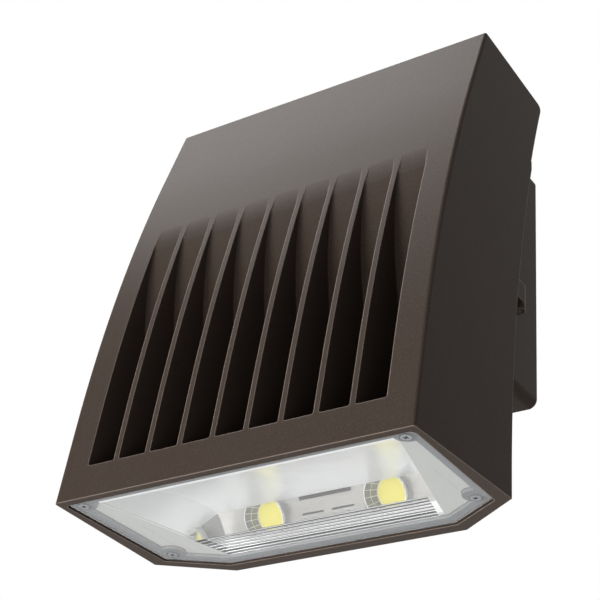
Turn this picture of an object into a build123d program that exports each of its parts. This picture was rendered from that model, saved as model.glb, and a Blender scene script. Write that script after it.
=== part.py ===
"""Wall pack light: a finned front housing hinged on a shallow back box, lit by two round LEDs.

Millimetres, +Z up, -Y away from the wall. The origin is in the plane of the wall, in the middle
of the four holes for the wall screws. Inside this file a place is often given as a depth (measured
from the front bottom edge towards the wall) and a height (measured up from the bottom rim).
"""
from build123d import *
from math import atan, cos, radians, sin, sqrt, tan
import os

# ---------------------------------------------------------------- driving dimensions
# overall
FRONT_WIDTH = 248.0        # across the front face
HEIGHT = 322.0             # bottom rim to the top front edge
DEPTH = 171.0              # wall to the front bottom edge
BOX_DEPTH = 37.6           # wall to the door's rear rim
MOUNT_HEIGHT = 183.0       # bottom rim to the middle of the wall screws

# side view of the housing
FRONT_LEAN = 7.16          # degrees that the straight lower front leans back
FRONT_STRAIGHT = 53.0      # height of that straight part
FRONT_RADIUS = 1128.0      # radius of the bowed front above it
FRONT_ARC_TOP = 270.0      # height where the bow runs out into a straight top part
PARTING_DEPTH = DEPTH - BOX_DEPTH   # depth of the door's rear rim
SIDE_SETBACK = 29.4        # rear edge of the side walls in front of that rim, at the bottom
SIDE_DEPTH = PARTING_DEPTH - SIDE_SETBACK
SIDE_STRAIGHT = 11.0       # height over which their rear edge is upright
SIDE_RADIUS = 992.0        # radius of that rear edge above
TOP_BACK_HEIGHT = 310.0    # height of the top rear edge
SIDE_DRAFT = 0.039         # widening of each side per millimetre of depth
SIDE_TAPER = 0.0088        # narrowing of each side per millimetre of height
CHAMFER_RUN = 1.51         # sideways run of the rear corner chamfer per millimetre of depth
CHAMFER_TOP = 254.0        # height up to which the rear corners are chamfered
EDGE_ROUND = 1.8           # rounding of the housing's outer edges
TOP_CORNER_ROUND = 5.0     # rounding of the top rear edge

# walls
FRONT_WALL = 6.0
SIDE_WALL = 3.5
TOP_WALL = 4.5
COLLAR_WALL = 6.0
CHANNEL_BOTTOM = 30.0      # lower end of the open channel inside each side wall
SLOT_FLOOR_WALL = 5.0
LED_WALL = 7.0

# slots between the cooling fins
FIN_COUNT = 8
FIN_PITCH = 23.6
FIN_THICKNESS = 3.6
SLOT_BOTTOM = 22.5         # height where the slots start on the front face
SLOT_TOP = 212.0           # height where they run out into the front face
SLOT_FLOOR_DEPTH = 287.5   # centre and radius of the bowed floor
SLOT_FLOOR_HEIGHT = 173.4
SLOT_FLOOR_RADIUS = 253.0
SLOT_RUN_OUT_LEAN = 2.0    # degrees between the run-out and the front face
SLOT_RUN_OUT_RADIUS = 90.0
SLOT_ROOF_SLOPE = 25.0     # degrees that the bottom of each slot rises inwards
SLOT_CORNER_ROUND = 6.0
SLOT_FLOOR_ROUND = 1.2     # between a slot's floor and its sides

# back box
BOX_INSET = 12.4           # sides of the back box inside the width of the front face
BOX_HALF_WIDTH = FRONT_WIDTH / 2 - BOX_INSET
BOX_BOTTOM = 92.5
BOX_TOP = 268.6
BOX_CORNER = 6.0
BOX_WALL = 4.5
BOX_REAR_WALL = 5.0
SEAM = 1.0                 # gap between door and back box, filled by the door gasket
OVERHANG_GAP = 1.9         # between the back box's top and the housing above it
BESIDE_BOX_GAP = 0.4       # between the back box's sides and the housing

# gaskets
DOOR_GASKET_WIDTH = 3.0
DOOR_GASKET_GROOVE = 2.0
DOOR_GASKET_INSET = 1.5
WALL_GASKET_WIDTH = 8.0
WALL_GASKET_DEPTH = 2.0
WALL_GASKET_INSET = 2.0

# hinge on the right-hand side
HINGE_OUT = 5.7                  # axis beside the back box
HINGE_X = BOX_HALF_WIDTH + HINGE_OUT
HINGE_BEHIND = 0.5               # axis behind the door's rear rim
HINGE_DEPTH = PARTING_DEPTH + HINGE_BEHIND
HINGE_HEIGHTS = (147.0, 234.0)   # top of each lug on the back box
HINGE_LUG_RADIUS = 4.2
HINGE_LUG_THICKNESS = 5.0
HINGE_PIN_RADIUS = 2.0
HINGE_PIN_STAND = 12.0           # pin above its lug
KNUCKLE_HEIGHT = 13.0
KNUCKLE_GAP = 0.3
RUNNING_CLEARANCE = 0.05
ARM_LENGTH = 17.4                # knuckle's arm in front of the door's rear rim

# captive screw on the left-hand side
SCREW_OUT = 6.4                  # axis beside the back box
SCREW_X = -BOX_HALF_WIDTH - SCREW_OUT
SCREW_HEIGHT = 150.0
EAR_HALF = 7.0
EAR_THICKNESS = 6.4
SCREW_SHANK_RADIUS = 2.05
SCREW_EAR_CLEARANCE = 0.30
SCREW_LUG_CLEARANCE = 0.55
SCREW_HEAD_RADIUS = 4.6
SCREW_HEAD_HEIGHT = 4.2
SCREW_TIP = 7.0                  # shank inside the back box's lug
LUG_DEPTH = 9.0
RETAINER_RADIUS = 4.0
RETAINER_THICKNESS = 0.6

# lens and the ledge it seats on
LENS_FRONT = 6.5
LENS_FRONT_IN = 4.5        # lens's front corners inside the front face's width
LENS_FRONT_HALF = FRONT_WIDTH / 2 - LENS_FRONT_IN
LENS_SIDE_BEFORE = 2.3     # lens's side corners in front of the housing's
LENS_SIDE_DEPTH = SIDE_DEPTH - LENS_SIDE_BEFORE
LENS_SIDE_IN = 6.5
LENS_SIDE_HALF = FRONT_WIDTH / 2 - LENS_SIDE_IN
LENS_BACK_BEFORE = 9.6     # lens's back edge in front of the parting plane
LENS_BACK = PARTING_DEPTH - LENS_BACK_BEFORE
LENS_BACK_IN = 42.2
LENS_BACK_HALF = FRONT_WIDTH / 2 - LENS_BACK_IN
LENS_CORNER = 3.0
LENS_EDGE_ROUND = 0.6
LENS_RECESS = 1.0          # lens face above the rim
LENS_THICKNESS = 4.0
LENS_CLEARANCE = 0.8
LENS_GASKET = 1.5
LENS_GASKET_INSET = 1.0
LENS_GASKET_WIDTH = 5.0
FRONT_SCREW_IN = (7.9, 6.1)      # front lens screws in from the lens's side and front edge
REAR_SCREW_IN = (8.9, 4.7)       # rear lens screws in from the lens's side and rear corner
LENS_SCREWS = (
    (LENS_FRONT_HALF - FRONT_SCREW_IN[0], LENS_FRONT + FRONT_SCREW_IN[1]),
    (LENS_SIDE_HALF - REAR_SCREW_IN[0], LENS_SIDE_DEPTH - REAR_SCREW_IN[1]),
)
LENS_SCREW_LOBE = 8.0
LENS_SCREW_RADIUS = 2.0
LENS_SCREW_HEAD = 3.5
LENS_SCREW_HEAD_HEIGHT = 1.8
LENS_SCREW_LENGTH = 14.0
CROSS_WIDTH = 0.9          # driver recess in the lens screws
CROSS_DEPTH = 1.0
PRISM_COUNT = 7
PRISM_PITCH = 4.0
PRISM_WIDTH = 3.4
PRISM_HEIGHT = 0.5
PRISM_ROOT = 0.5           # foot of each rib inside the lens
PRISM_MARGIN = 3.0         # ribs inside the reflector's sides

# optical chamber and reflectors
PLATE_THICKNESS = 1.0
PLATE_CLEARANCE = 0.4
MOUTH_FRONT = 18.0
MOUTH_FRONT_IN = 20.0      # mouth's front corners inside the front face's width
MOUTH_FRONT_HALF = FRONT_WIDTH / 2 - MOUTH_FRONT_IN
MOUTH_BACK_BEFORE = 11.3   # mouth in front of the lens's back edge
MOUTH_BACK = LENS_BACK - MOUTH_BACK_BEFORE
MOUTH_BACK_IN = 45.0
MOUTH_BACK_HALF = FRONT_WIDTH / 2 - MOUTH_BACK_IN
CHAMBER_MARGIN = 2.5       # chamber wall outside the reflector's mouth
CHAMBER_FRONT = 14.5
CHAMBER_BACK_BEFORE = 2.3  # chamber in front of the lens's back edge
CHAMBER_BACK = LENS_BACK - CHAMBER_BACK_BEFORE
CHAMBER_FLAT = 4.0         # level strip between the sloping roof and the LED wall
ROOF_WALL = 5.0
SHEET = 0.8                # reflector sheet metal
CEILING_HEIGHT = 30.0      # reflector's ceiling at its middle
CEILING_DEPTH = 64.0
END_SLOT_FRONT = 56.5      # slot in each end plate
END_SLOT_BEFORE = 14.2     # slot's rear end in front of the lens's side corners
END_SLOT = (END_SLOT_FRONT, LENS_SIDE_DEPTH - END_SLOT_BEFORE)
END_SLOT_OUT = 12.3        # slot outside the mouth
END_SLOT_WIDTH = 1.3
END_TAB = 6.0              # bridge at the slot's middle

# LEDs
LED_X = 44.0
LED_BEFORE = 12.3          # LEDs in front of the lens's back edge
LED_DEPTH = LENS_BACK - LED_BEFORE
LED_HEIGHT = 25.0
LED_TILT = 30.0            # degrees that each LED looks down from straight ahead
LED_RADIUS = 10.0
LED_PHOSPHOR = 0.6
LED_BOARD = 24.0
LED_BOARD_THICKNESS = 1.5
PRISM_BEFORE = 25.5        # first prism in front of the LEDs
PRISM_FIRST = LED_DEPTH - PRISM_BEFORE
HOLDER_LENGTH = 39.0
HOLDER_BAR = 4.0           # holder above the board's upper edge
HOLDER_OVER_BOARD = 2.0    # holder in front of the board
HOLDER_HOLE_RADIUS = 12.7
HOLDER_CLEARANCE = 0.1
HOLDER_SCREW_X = 16.4      # holder screws beside each LED's middle
HOLDER_SCREW_RADIUS = 1.5
HOLDER_SCREW_HEAD = 2.6
HOLDER_SCREW_HEAD_HEIGHT = 1.6
HOLDER_SCREW_LENGTH = 7.0
CUP_BASE_RADIUS = 10.6
CUP_RADIUS = 14.4
CUP_LENGTH = 9.4
CUP_WALL = 0.8
CUP_GAP = 0.2              # below the cups, above the LEDs' emitting face
BAND = 4.2                 # reflector band in front of the LEDs
BAND_UP = 8.6              # band above and below the LEDs' middle
BAND_DOWN = 9.4
BAND_SLOT_HALF = 19.0      # slots in the band between the cups
BAND_SLOT_UP = -2.6        # bend relief near its middle, with a bridge as in the end plates
CREASE_SLOT = 2.4          # wider opening under its upper bend

# what the driver compartment holds
DRIVER_LENGTH = 150.0
DRIVER_HEIGHT = 60.0
DRIVER_DEPTH = 34.0
DRIVER_MIDDLE = 216.0
DRIVER_SEAT = 54.0         # depth of the driver's mounting face
DRIVER_TAB = 10.0
DRIVER_TAB_THICKNESS = 2.0
COMPONENT_ROUND = 2.0
HOLE_CLEARANCE = 0.3       # round the screws in the parts they clamp
SURGE_LENGTH = 52.0
SURGE_HEIGHT = 30.0
SURGE_DEPTH = 26.0
SURGE_X = 0.0
SURGE_MIDDLE = 142.0
BOSS_RADIUS = 5.0
BOSS_SCREW_RADIUS = 2.0
BOSS_SCREW_HEAD = 3.6
BOSS_SCREW_HEAD_HEIGHT = 2.4
BOSS_SCREW_LENGTH = 12.0
WIRE_DEPTH = 74.0          # where the LED wires pass down into the optical chamber
WIRE_BORE = 3.0
GROMMET_BORE = 1.4
GROMMET_NECK = 8.0
GROMMET_FLANGE = 5.5
GROMMET_FLANGE_THICKNESS = 2.0

# open pocket over the optical chamber, behind the wire bores and the LED wall
POCKET_WALL = 4.0
POCKET_FRONT = WIRE_DEPTH + WIRE_BORE + POCKET_WALL
POCKET_FLOOR_WALL = 6.0
POCKET_INSET = 4.0         # pocket inside the reflector's rear width, each side
POCKET_CORNER = 5.0

# interfaces on the back box, measured from the middle of the wall screws
WALL_HOLE_X = 80.0
WALL_HOLE_Z = 60.0
WALL_HOLE_RADIUS = 3.5
JUNCTION_HALF = 44.45      # 3-1/2 in junction box screws
JUNCTION_SLOT = 12.0
JUNCTION_SLOT_RADIUS = 2.4
WIRE_ENTRY_RADIUS = 11.0
CONDUIT_X = 52.0
CONDUIT_RADIUS = 10.5      # half-inch conduit entry
CONDUIT_BOSS = 14.5
CONDUIT_LENGTH = 12.0
CONDUIT_Y = 18.0           # middle of the conduit entries, in front of the wall
PLUG_FIT = 0.05
PLUG_SOCKET = 5.0
GROUND_X = 70.0
GROUND_Z = 20.0
GROUND_BOSS = 8.0          # height of the earth screw's boss
GROUND_HEAD_RADIUS = 4.5
GROUND_HEAD_HEIGHT = 3.0
GROUND_SCREW_LENGTH = 6.0
TERMINAL_Z = -42.0
TERMINAL_HALF = 24.0
TERMINAL_HEIGHT = 18.0
TERMINAL_DEPTH = 14.0
TERMINAL_PITCH = 15.0
TERMINAL_SCREW_RADIUS = 2.6
TERMINAL_WIRE = 6.0        # width of each wire opening
SCREW_SLOT = 1.2           # width and depth of the slots in slotted screw heads


# ---------------------------------------------------------------- places and small shapes
def at(depth, height):
    """Y and Z of a place given by its depth and height."""
    return depth - DEPTH, height - MOUNT_HEIGHT


def point(x, depth, height):
    """A point in the part's frame, from X, depth and height."""
    return (x, *at(depth, height))


def front_depth(height):
    """Depth of the front face at a height: straight, then bowed, then straight."""
    lean = radians(FRONT_LEAN)
    if height <= FRONT_STRAIGHT:
        return height * tan(lean)
    centre_depth = FRONT_STRAIGHT * tan(lean) + FRONT_RADIUS * cos(lean)
    centre_height = FRONT_STRAIGHT - FRONT_RADIUS * sin(lean)
    rise = min(height, FRONT_ARC_TOP) - centre_height
    depth = centre_depth - sqrt(FRONT_RADIUS ** 2 - rise ** 2)
    slope = rise / sqrt(FRONT_RADIUS ** 2 - rise ** 2)
    return depth + max(0.0, height - FRONT_ARC_TOP) * slope


def front_slope(height):
    """Change of the front face's depth per millimetre of height."""
    return front_depth(height + 0.5) - front_depth(height - 0.5)


def rear_edge_depth(height):
    """Depth of the side walls' rear edge at a height."""
    rise = max(0.0, height - SIDE_STRAIGHT)
    return SIDE_DEPTH + SIDE_RADIUS - sqrt(SIDE_RADIUS ** 2 - rise ** 2)


def half_width(depth, height):
    """Half of the housing's width at a depth and height."""
    return FRONT_WIDTH / 2 + SIDE_DRAFT * depth - SIDE_TAPER * height


def side_face(*edges):
    """A face in the YZ plane inside a closed chain of edges given in depth and height."""
    return Plane.YZ * make_face(Curve() + list(edges))


def side_polygon(*places):
    """A polygon in the YZ plane, from its corners in depth and height."""
    return side_face(Polyline(*[at(*place) for place in places], close=True))


def arc_between(curve, low, high, inset=0.0):
    """An arc that follows curve(height) from one height to another, moved in by an inset."""
    heights = (low, (low + high) / 2, high)
    return ThreePointArc(*[at(curve(height) + inset, height) for height in heights])


def across(face, half):
    """A face of the side view, extruded by a half width to both sides."""
    return extrude(face, amount=half, both=True)


def plan_polygon(*places):
    """A polygon in the bottom plane, from its corners in X and depth."""
    corners = [(x, depth - DEPTH) for x, depth in places]
    return Pos(0, 0, -MOUNT_HEIGHT) * make_face(Polyline(*corners, close=True))


def raised(face, low, high):
    """A face in the bottom plane made a slab between two heights."""
    return extrude(Pos(0, 0, low) * face, amount=high - low, dir=(0, 0, 1))


def block(x_range, depth_range, height_range):
    """A box between two X values, two depths and two heights."""
    sizes = [high - low for low, high in (x_range, depth_range, height_range)]
    middle = [(low + high) / 2 for low, high in (x_range, depth_range, height_range)]
    return Pos(*point(*middle)) * Box(*sizes)


def post(x, depth, height_range, radius):
    """An upright cylinder between two heights."""
    low, high = height_range
    return Pos(*point(x, depth, (low + high) / 2)) * Cylinder(radius, high - low)


def stud(x, depth_range, height, radius):
    """A cylinder that runs from one depth to another."""
    near, far = depth_range
    turn = Rot(90, 0, 0)
    return Pos(*point(x, (near + far) / 2, height)) * turn * Cylinder(radius, far - near)


def screw_slot(x, face, height, radius):
    """The cutter for the driver slot in a screw head that faces away from the wall."""
    return block(
        (x - radius - 1, x + radius + 1), (face - 1, face + SCREW_SLOT),
        (height - SCREW_SLOT / 2, height + SCREW_SLOT / 2))


def both_sides(shape):
    """A shape and its mirror image."""
    return shape + mirror(shape, about=Plane.YZ)


def write(name, shape):
    """Export one sub-part as a STEP file under its node's name."""
    solids = shape.solids()
    export_step(solids[0] if len(solids) == 1 else Compound(children=solids), f"parts/{name}.step")


# ---------------------------------------------------------------- outlines
def housing_side_face():
    """The housing seen from the side."""
    lean_top = (front_depth(FRONT_STRAIGHT), FRONT_STRAIGHT)
    arc_top = (front_depth(FRONT_ARC_TOP), FRONT_ARC_TOP)
    top_front = (front_depth(HEIGHT), HEIGHT)
    top_back = (rear_edge_depth(TOP_BACK_HEIGHT), TOP_BACK_HEIGHT)
    back_low = (SIDE_DEPTH, SIDE_STRAIGHT)
    face = side_face(
        Line(at(0, 0), at(*lean_top)),
        arc_between(front_depth, FRONT_STRAIGHT, FRONT_ARC_TOP),
        Line(at(*arc_top), at(*top_front)),
        Line(at(*top_front), at(*top_back)),
        arc_between(rear_edge_depth, SIDE_STRAIGHT, TOP_BACK_HEIGHT),
        Line(at(*back_low), at(SIDE_DEPTH, 0)),
        Line(at(SIDE_DEPTH, 0), at(0, 0)),
    )
    corner = Vector(*point(0, *top_back))
    return fillet(face.vertices().sort_by_distance(corner)[0], TOP_CORNER_ROUND)


def lens_face(inset=0.0):
    """The lens outline, moved in by an inset."""
    face = plan_polygon(
        (-LENS_FRONT_HALF, LENS_FRONT), (LENS_FRONT_HALF, LENS_FRONT),
        (LENS_SIDE_HALF, LENS_SIDE_DEPTH), (LENS_BACK_HALF, LENS_BACK),
        (-LENS_BACK_HALF, LENS_BACK), (-LENS_SIDE_HALF, LENS_SIDE_DEPTH),
    )
    if inset:
        face = offset(face, amount=-inset, kind=Kind.INTERSECTION)
    return fillet(face.vertices(), LENS_CORNER)


def lens_screw_faces(radius):
    """A disc in the bottom plane round each lens screw."""
    discs = [Pos(x, depth - DEPTH, -MOUNT_HEIGHT) * Circle(radius) for x, depth in LENS_SCREWS]
    return both_sides(discs[0] + discs[1])


def ledge_face(inset, lobe):
    """The opening inside the lens ledge, drawn in round the lens screws."""
    return lens_face(inset) - lens_screw_faces(lobe)


def mouth_half(depth):
    """Half of the reflector mouth's width at a depth."""
    run = (depth - MOUTH_FRONT) / (MOUTH_BACK - MOUTH_FRONT)
    return MOUTH_FRONT_HALF + run * (MOUTH_BACK_HALF - MOUTH_FRONT_HALF)


def mouth_face(front, back, margin=0.0):
    """The tapered plan of the reflector between two depths."""
    near = mouth_half(front) + margin
    far = mouth_half(back) + margin
    return plan_polygon((-near, front), (near, front), (far, back), (-far, back))


def box_face(inset=0.0):
    """The back box seen from the front."""
    width = 2 * (BOX_HALF_WIDTH - inset)
    height = BOX_TOP - BOX_BOTTOM - 2 * inset
    middle = (BOX_TOP + BOX_BOTTOM) / 2 - MOUNT_HEIGHT
    return Pos(0, 0, middle) * (Plane.XZ * RectangleRounded(width, height, max(BOX_CORNER - inset, 1.5)))


def box_slab(inset, near, far):
    """The back box's outline as a slab between two depths."""
    return extrude(Pos(0, near - DEPTH, 0) * box_face(inset), amount=far - near, dir=(0, 1, 0))


# the LEDs' own plane: X across, Y up the tilted wall, Z the way the light leaves
LED_PLANE = Plane(
    origin=point(0, LED_DEPTH, LED_HEIGHT), x_dir=(1, 0, 0),
    z_dir=(0, -cos(radians(LED_TILT)), -sin(radians(LED_TILT))),
)
LED_BACK = -(LED_PHOSPHOR + LED_BOARD_THICKNESS)
HOLDER_SCREWS = [led + side * HOLDER_SCREW_X for led in (-LED_X, LED_X) for side in (-1, 1)]


def led_place(up, out):
    """Depth and height of a place given up the LED wall and out from it."""
    tilt = radians(LED_TILT)
    return (LED_DEPTH - up * sin(tilt) - out * cos(tilt), LED_HEIGHT + up * cos(tilt) - out * sin(tilt))


def roof_height(depth):
    """Height of the optical chamber's sloping roof, which runs under the bottoms of the slots."""
    drop = ROOF_WALL / cos(radians(SLOT_ROOF_SLOPE))
    return SLOT_BOTTOM - drop + (depth - front_depth(SLOT_BOTTOM)) * ROOF_RISE


ROOF_RISE = tan(radians(SLOT_ROOF_SLOPE))
LED_LEAN = tan(radians(LED_TILT))
LED_SEAT = led_place(0, LED_BACK)
# where the sloping roof comes within the level strip's width of the leaning LED wall
CHAMBER_TOP = (LED_SEAT[0] + LED_SEAT[1] * LED_LEAN - CHAMBER_FLAT + roof_height(0) / ROOF_RISE) / (
    1 / ROOF_RISE + LED_LEAN)
COMPARTMENT_FLOOR = BOX_BOTTOM + COLLAR_WALL
LENS_TOP = LENS_RECESS + LENS_THICKNESS
LEDGE = LENS_TOP + LENS_GASKET
PLATE_TOP = LEDGE + LENS_GASKET
PLATE_BOTTOM = PLATE_TOP - PLATE_THICKNESS
LEDGE_WIDTH = LENS_GASKET_INSET + LENS_GASKET_WIDTH
LIP_FRONT = LENS_FRONT + LEDGE_WIDTH
LIP_BACK = LENS_BACK - LEDGE_WIDTH


# ---------------------------------------------------------------- front housing
def between_side_planes(shape, inset=0.0):
    """A shape cut back to the drafted side faces, or to planes inside them."""
    for side in (1, -1):
        plane = Plane(
            origin=point(side * (FRONT_WIDTH / 2 - inset), 0, 0),
            z_dir=(side, -SIDE_DRAFT, SIDE_TAPER),
        )
        shape = split(shape, bisect_by=plane, keep=Keep.BOTTOM)
    return shape


def is_rounded_edge(edge):
    """True for the edges of both side faces and the top front edge."""
    middle = edge @ 0.5
    depth, height = middle.Y + DEPTH, middle.Z + MOUNT_HEIGHT
    on_side = abs(abs(middle.X) - half_width(depth, height)) < 0.05 and height > 1.0
    on_top_front = abs(depth - front_depth(HEIGHT)) < 0.05 and abs(height - HEIGHT) < 0.05
    return on_side or on_top_front


def housing_body():
    """The solid outer form: bowed front, drafted sides, chamfered lower rear corners."""
    face = housing_side_face()
    body = between_side_planes(across(face, FRONT_WIDTH))
    body = fillet(body.edges().filter_by(is_rounded_edge), EDGE_ROUND)
    corner_x = half_width(SIDE_DEPTH, 0)
    slide = Vector(-CHAMFER_RUN, 1, 0).normalized()
    low_part = face & side_polygon((-50, -1), (DEPTH, -1), (DEPTH, CHAMFER_TOP), (-50, CHAMFER_TOP))
    rear = extrude(Pos(corner_x, 0, 0) * low_part, amount=corner_x / abs(slide.X), dir=tuple(slide))
    rear = both_sides(rear) & block((-FRONT_WIDTH, FRONT_WIDTH), (0, PARTING_DEPTH), (-1, HEIGHT))
    return body + between_side_planes(rear)


def slot_face():
    """One slot seen from the side, from outside the front face to its bowed floor."""
    lean = atan(front_slope(SLOT_TOP)) - radians(SLOT_RUN_OUT_LEAN)
    start = front_depth(SLOT_BOTTOM)
    out = 12.0

    def floor(height):
        return SLOT_FLOOR_DEPTH - sqrt(SLOT_FLOOR_RADIUS ** 2 - (height - SLOT_FLOOR_HEIGHT) ** 2)

    def run_out(height):
        return front_depth(SLOT_TOP) + (height - SLOT_TOP) * tan(lean)

    low = SLOT_BOTTOM
    while floor(low) > start + (low - SLOT_BOTTOM) / ROOF_RISE:
        low += 0.05
    meet = SLOT_TOP
    while run_out(meet) > floor(meet):
        meet -= 0.05
    top = SLOT_TOP + out
    face = side_face(
        Line(at(start - out, SLOT_BOTTOM - out * ROOF_RISE), at(floor(low), low)),
        arc_between(floor, low, meet),
        Line(at(floor(meet), meet), at(run_out(top), top)),
        Line(at(run_out(top), top), at(run_out(top) - 3 * out, top)),
        Line(at(run_out(top) - 3 * out, top), at(start - out, SLOT_BOTTOM - out * ROOF_RISE)),
    )
    blend = face.vertices().sort_by_distance(Vector(*point(0, floor(meet), meet)))[0]
    face = fillet(blend, SLOT_RUN_OUT_RADIUS)
    corner = face.vertices().sort_by_distance(Vector(*point(0, floor(low), low)))[0]
    return fillet(corner, SLOT_CORNER_ROUND)


def is_floor_edge(edge):
    """True for a slot's edges beside its floor, as far as its floor lies inside the front face."""
    middle = edge @ 0.5
    depth, height = middle.Y + DEPTH, middle.Z + MOUNT_HEIGHT
    upright = abs((edge % 0.5).X) < 0.5
    return upright and SLOT_BOTTOM < height and depth > front_depth(height) - 0.01


def slots():
    """All slots between and beside the cooling fins."""
    one = across(slot_face(), (FIN_PITCH - FIN_THICKNESS) / 2)
    one = fillet(one.edges().filter_by(is_floor_edge), SLOT_FLOOR_ROUND)
    places = [(index - FIN_COUNT / 2) * FIN_PITCH for index in range(FIN_COUNT + 1)]
    return [Pos(x, 0, 0) * one for x in places]


def shell_hollow():
    """The space under the skin that is open to the rear, round the collar."""
    low = CHANNEL_BOTTOM
    arc_low = (front_depth(low) + FRONT_WALL, low)
    arc_start = (front_depth(FRONT_STRAIGHT) + FRONT_WALL, FRONT_STRAIGHT)
    arc_high = (front_depth(FRONT_ARC_TOP) + FRONT_WALL, FRONT_ARC_TOP)
    top_slope = (HEIGHT - TOP_BACK_HEIGHT) / (rear_edge_depth(TOP_BACK_HEIGHT) - front_depth(HEIGHT))
    top_high = HEIGHT - TOP_WALL - FRONT_WALL
    top_front = (front_depth(top_high) + FRONT_WALL, top_high)
    top_back = (DEPTH, top_high - top_slope * (DEPTH - top_front[0]))
    face = side_face(
        Line(at(*arc_low), at(*arc_start)),
        arc_between(front_depth, FRONT_STRAIGHT, FRONT_ARC_TOP, FRONT_WALL),
        Line(at(*arc_high), at(*top_front)),
        Line(at(*top_front), at(*top_back)),
        Line(at(*top_back), at(DEPTH, low)),
        Line(at(DEPTH, low), at(*arc_low)),
    )
    space = between_side_planes(across(face, FRONT_WIDTH), SIDE_WALL)
    kept = block((-BOX_HALF_WIDTH, BOX_HALF_WIDTH), (0, DEPTH), (low - 1, BOX_TOP))
    return space - kept


def driver_compartment():
    """The cavity behind the slots' floor, open at the collar."""
    high = BOX_TOP - COLLAR_WALL
    half = BOX_HALF_WIDTH - COLLAR_WALL
    space = block((-half, half), (0, PARTING_DEPTH), (COMPARTMENT_FLOOR, high))
    space = fillet(space.edges().filter_by(Axis.Y), BOX_CORNER)
    bow = Pos(*point(0, SLOT_FLOOR_DEPTH, SLOT_FLOOR_HEIGHT)) * Rot(0, 90, 0) * Cylinder(
        SLOT_FLOOR_RADIUS - SLOT_FLOOR_WALL, 2 * FRONT_WIDTH)
    behind_skin = side_face(
        arc_between(front_depth, FRONT_STRAIGHT, FRONT_ARC_TOP, FRONT_WALL),
        Line(at(front_depth(FRONT_ARC_TOP) + FRONT_WALL, FRONT_ARC_TOP), at(DEPTH, FRONT_ARC_TOP)),
        Line(at(DEPTH, FRONT_ARC_TOP), at(DEPTH, FRONT_STRAIGHT)),
        Line(at(DEPTH, FRONT_STRAIGHT), at(front_depth(FRONT_STRAIGHT) + FRONT_WALL, FRONT_STRAIGHT)),
    )
    return space & bow & across(behind_skin, FRONT_WIDTH)


def chamber():
    """The optical chamber above the lens, with the ledge that the end plates seat on."""
    top_depth = LED_SEAT[0] - (CHAMBER_TOP - LED_SEAT[1]) * LED_LEAN
    back_height = LED_SEAT[1] - (CHAMBER_BACK - LED_SEAT[0]) / LED_LEAN
    face = side_polygon(
        (CHAMBER_FRONT, PLATE_BOTTOM), (CHAMBER_FRONT, roof_height(CHAMBER_FRONT)),
        (top_depth - CHAMBER_FLAT, CHAMBER_TOP), (top_depth, CHAMBER_TOP),
        (CHAMBER_BACK, back_height), (CHAMBER_BACK, PLATE_TOP),
        (LIP_BACK, PLATE_TOP), (LIP_BACK, PLATE_BOTTOM),
    )
    plan = raised(mouth_face(CHAMBER_FRONT - 1, CHAMBER_BACK + 1, CHAMBER_MARGIN), LEDGE, CHAMBER_TOP + 1)
    step = raised(ledge_face(LEDGE_WIDTH, LENS_SCREW_LOBE), LEDGE - 1, PLATE_TOP)
    recess = raised(offset(lens_face(), amount=LENS_CLEARANCE), -1, LEDGE)
    return (across(face, FRONT_WIDTH) & plan) + step + recess


def rear_pocket():
    """The recess behind the LED wall and over the optical chamber, open to the rear."""
    back, low = led_place(0, LED_BACK - LED_WALL)
    floor = CHAMBER_TOP + POCKET_FLOOR_WALL
    high = BOX_BOTTOM - COLLAR_WALL
    face = side_polygon(
        (DEPTH, low), (back, low), (back - (floor - low) * LED_LEAN, floor),
        (POCKET_FRONT, floor), (POCKET_FRONT, high), (DEPTH, high))
    space = across(face, MOUTH_BACK_HALF - POCKET_INSET)
    return fillet(space.edges().filter_by(Axis.Y), POCKET_CORNER)


def hinge_arms():
    """The two arms with knuckles that drop over the hinge pins."""
    arms = []
    for lug_top in HINGE_HEIGHTS:
        span = (lug_top + KNUCKLE_GAP, lug_top + KNUCKLE_GAP + KNUCKLE_HEIGHT)
        outer = HINGE_X + HINGE_LUG_RADIUS
        inner = HINGE_X - HINGE_LUG_RADIUS
        start = PARTING_DEPTH - ARM_LENGTH
        arm = block((BOX_HALF_WIDTH - COLLAR_WALL / 2, outer), (start, PARTING_DEPTH), span)
        arm = arm + block((inner, outer), (PARTING_DEPTH - 1, HINGE_DEPTH), span)
        arm = arm + post(HINGE_X, HINGE_DEPTH, span, HINGE_LUG_RADIUS)
        hole = post(HINGE_X, HINGE_DEPTH, (span[0] - 1, span[1] + 1), HINGE_PIN_RADIUS + RUNNING_CLEARANCE)
        arms.append(arm - hole)
    return arms


def screw_ear():
    """The ear on the door's left side that carries the captive screw."""
    span = (SCREW_HEIGHT - EAR_HALF, SCREW_HEIGHT + EAR_HALF)
    near = PARTING_DEPTH - EAR_THICKNESS
    ear = block((SCREW_X, -BOX_HALF_WIDTH + COLLAR_WALL / 2), (near, PARTING_DEPTH), span)
    ear = ear + stud(SCREW_X, (near, PARTING_DEPTH), SCREW_HEIGHT, EAR_HALF)
    radius = SCREW_SHANK_RADIUS + SCREW_EAR_CLEARANCE
    return ear - stud(SCREW_X, (near - 1, PARTING_DEPTH + 1), SCREW_HEIGHT, radius)


DRIVER_SCREWS = [(side * (DRIVER_LENGTH + DRIVER_TAB) / 2, DRIVER_MIDDLE) for side in (-1, 1)]
SURGE_SCREWS = [(SURGE_X + side * (SURGE_LENGTH + DRIVER_TAB) / 2, SURGE_MIDDLE) for side in (-1, 1)]
BOSSES = DRIVER_SCREWS + SURGE_SCREWS


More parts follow.
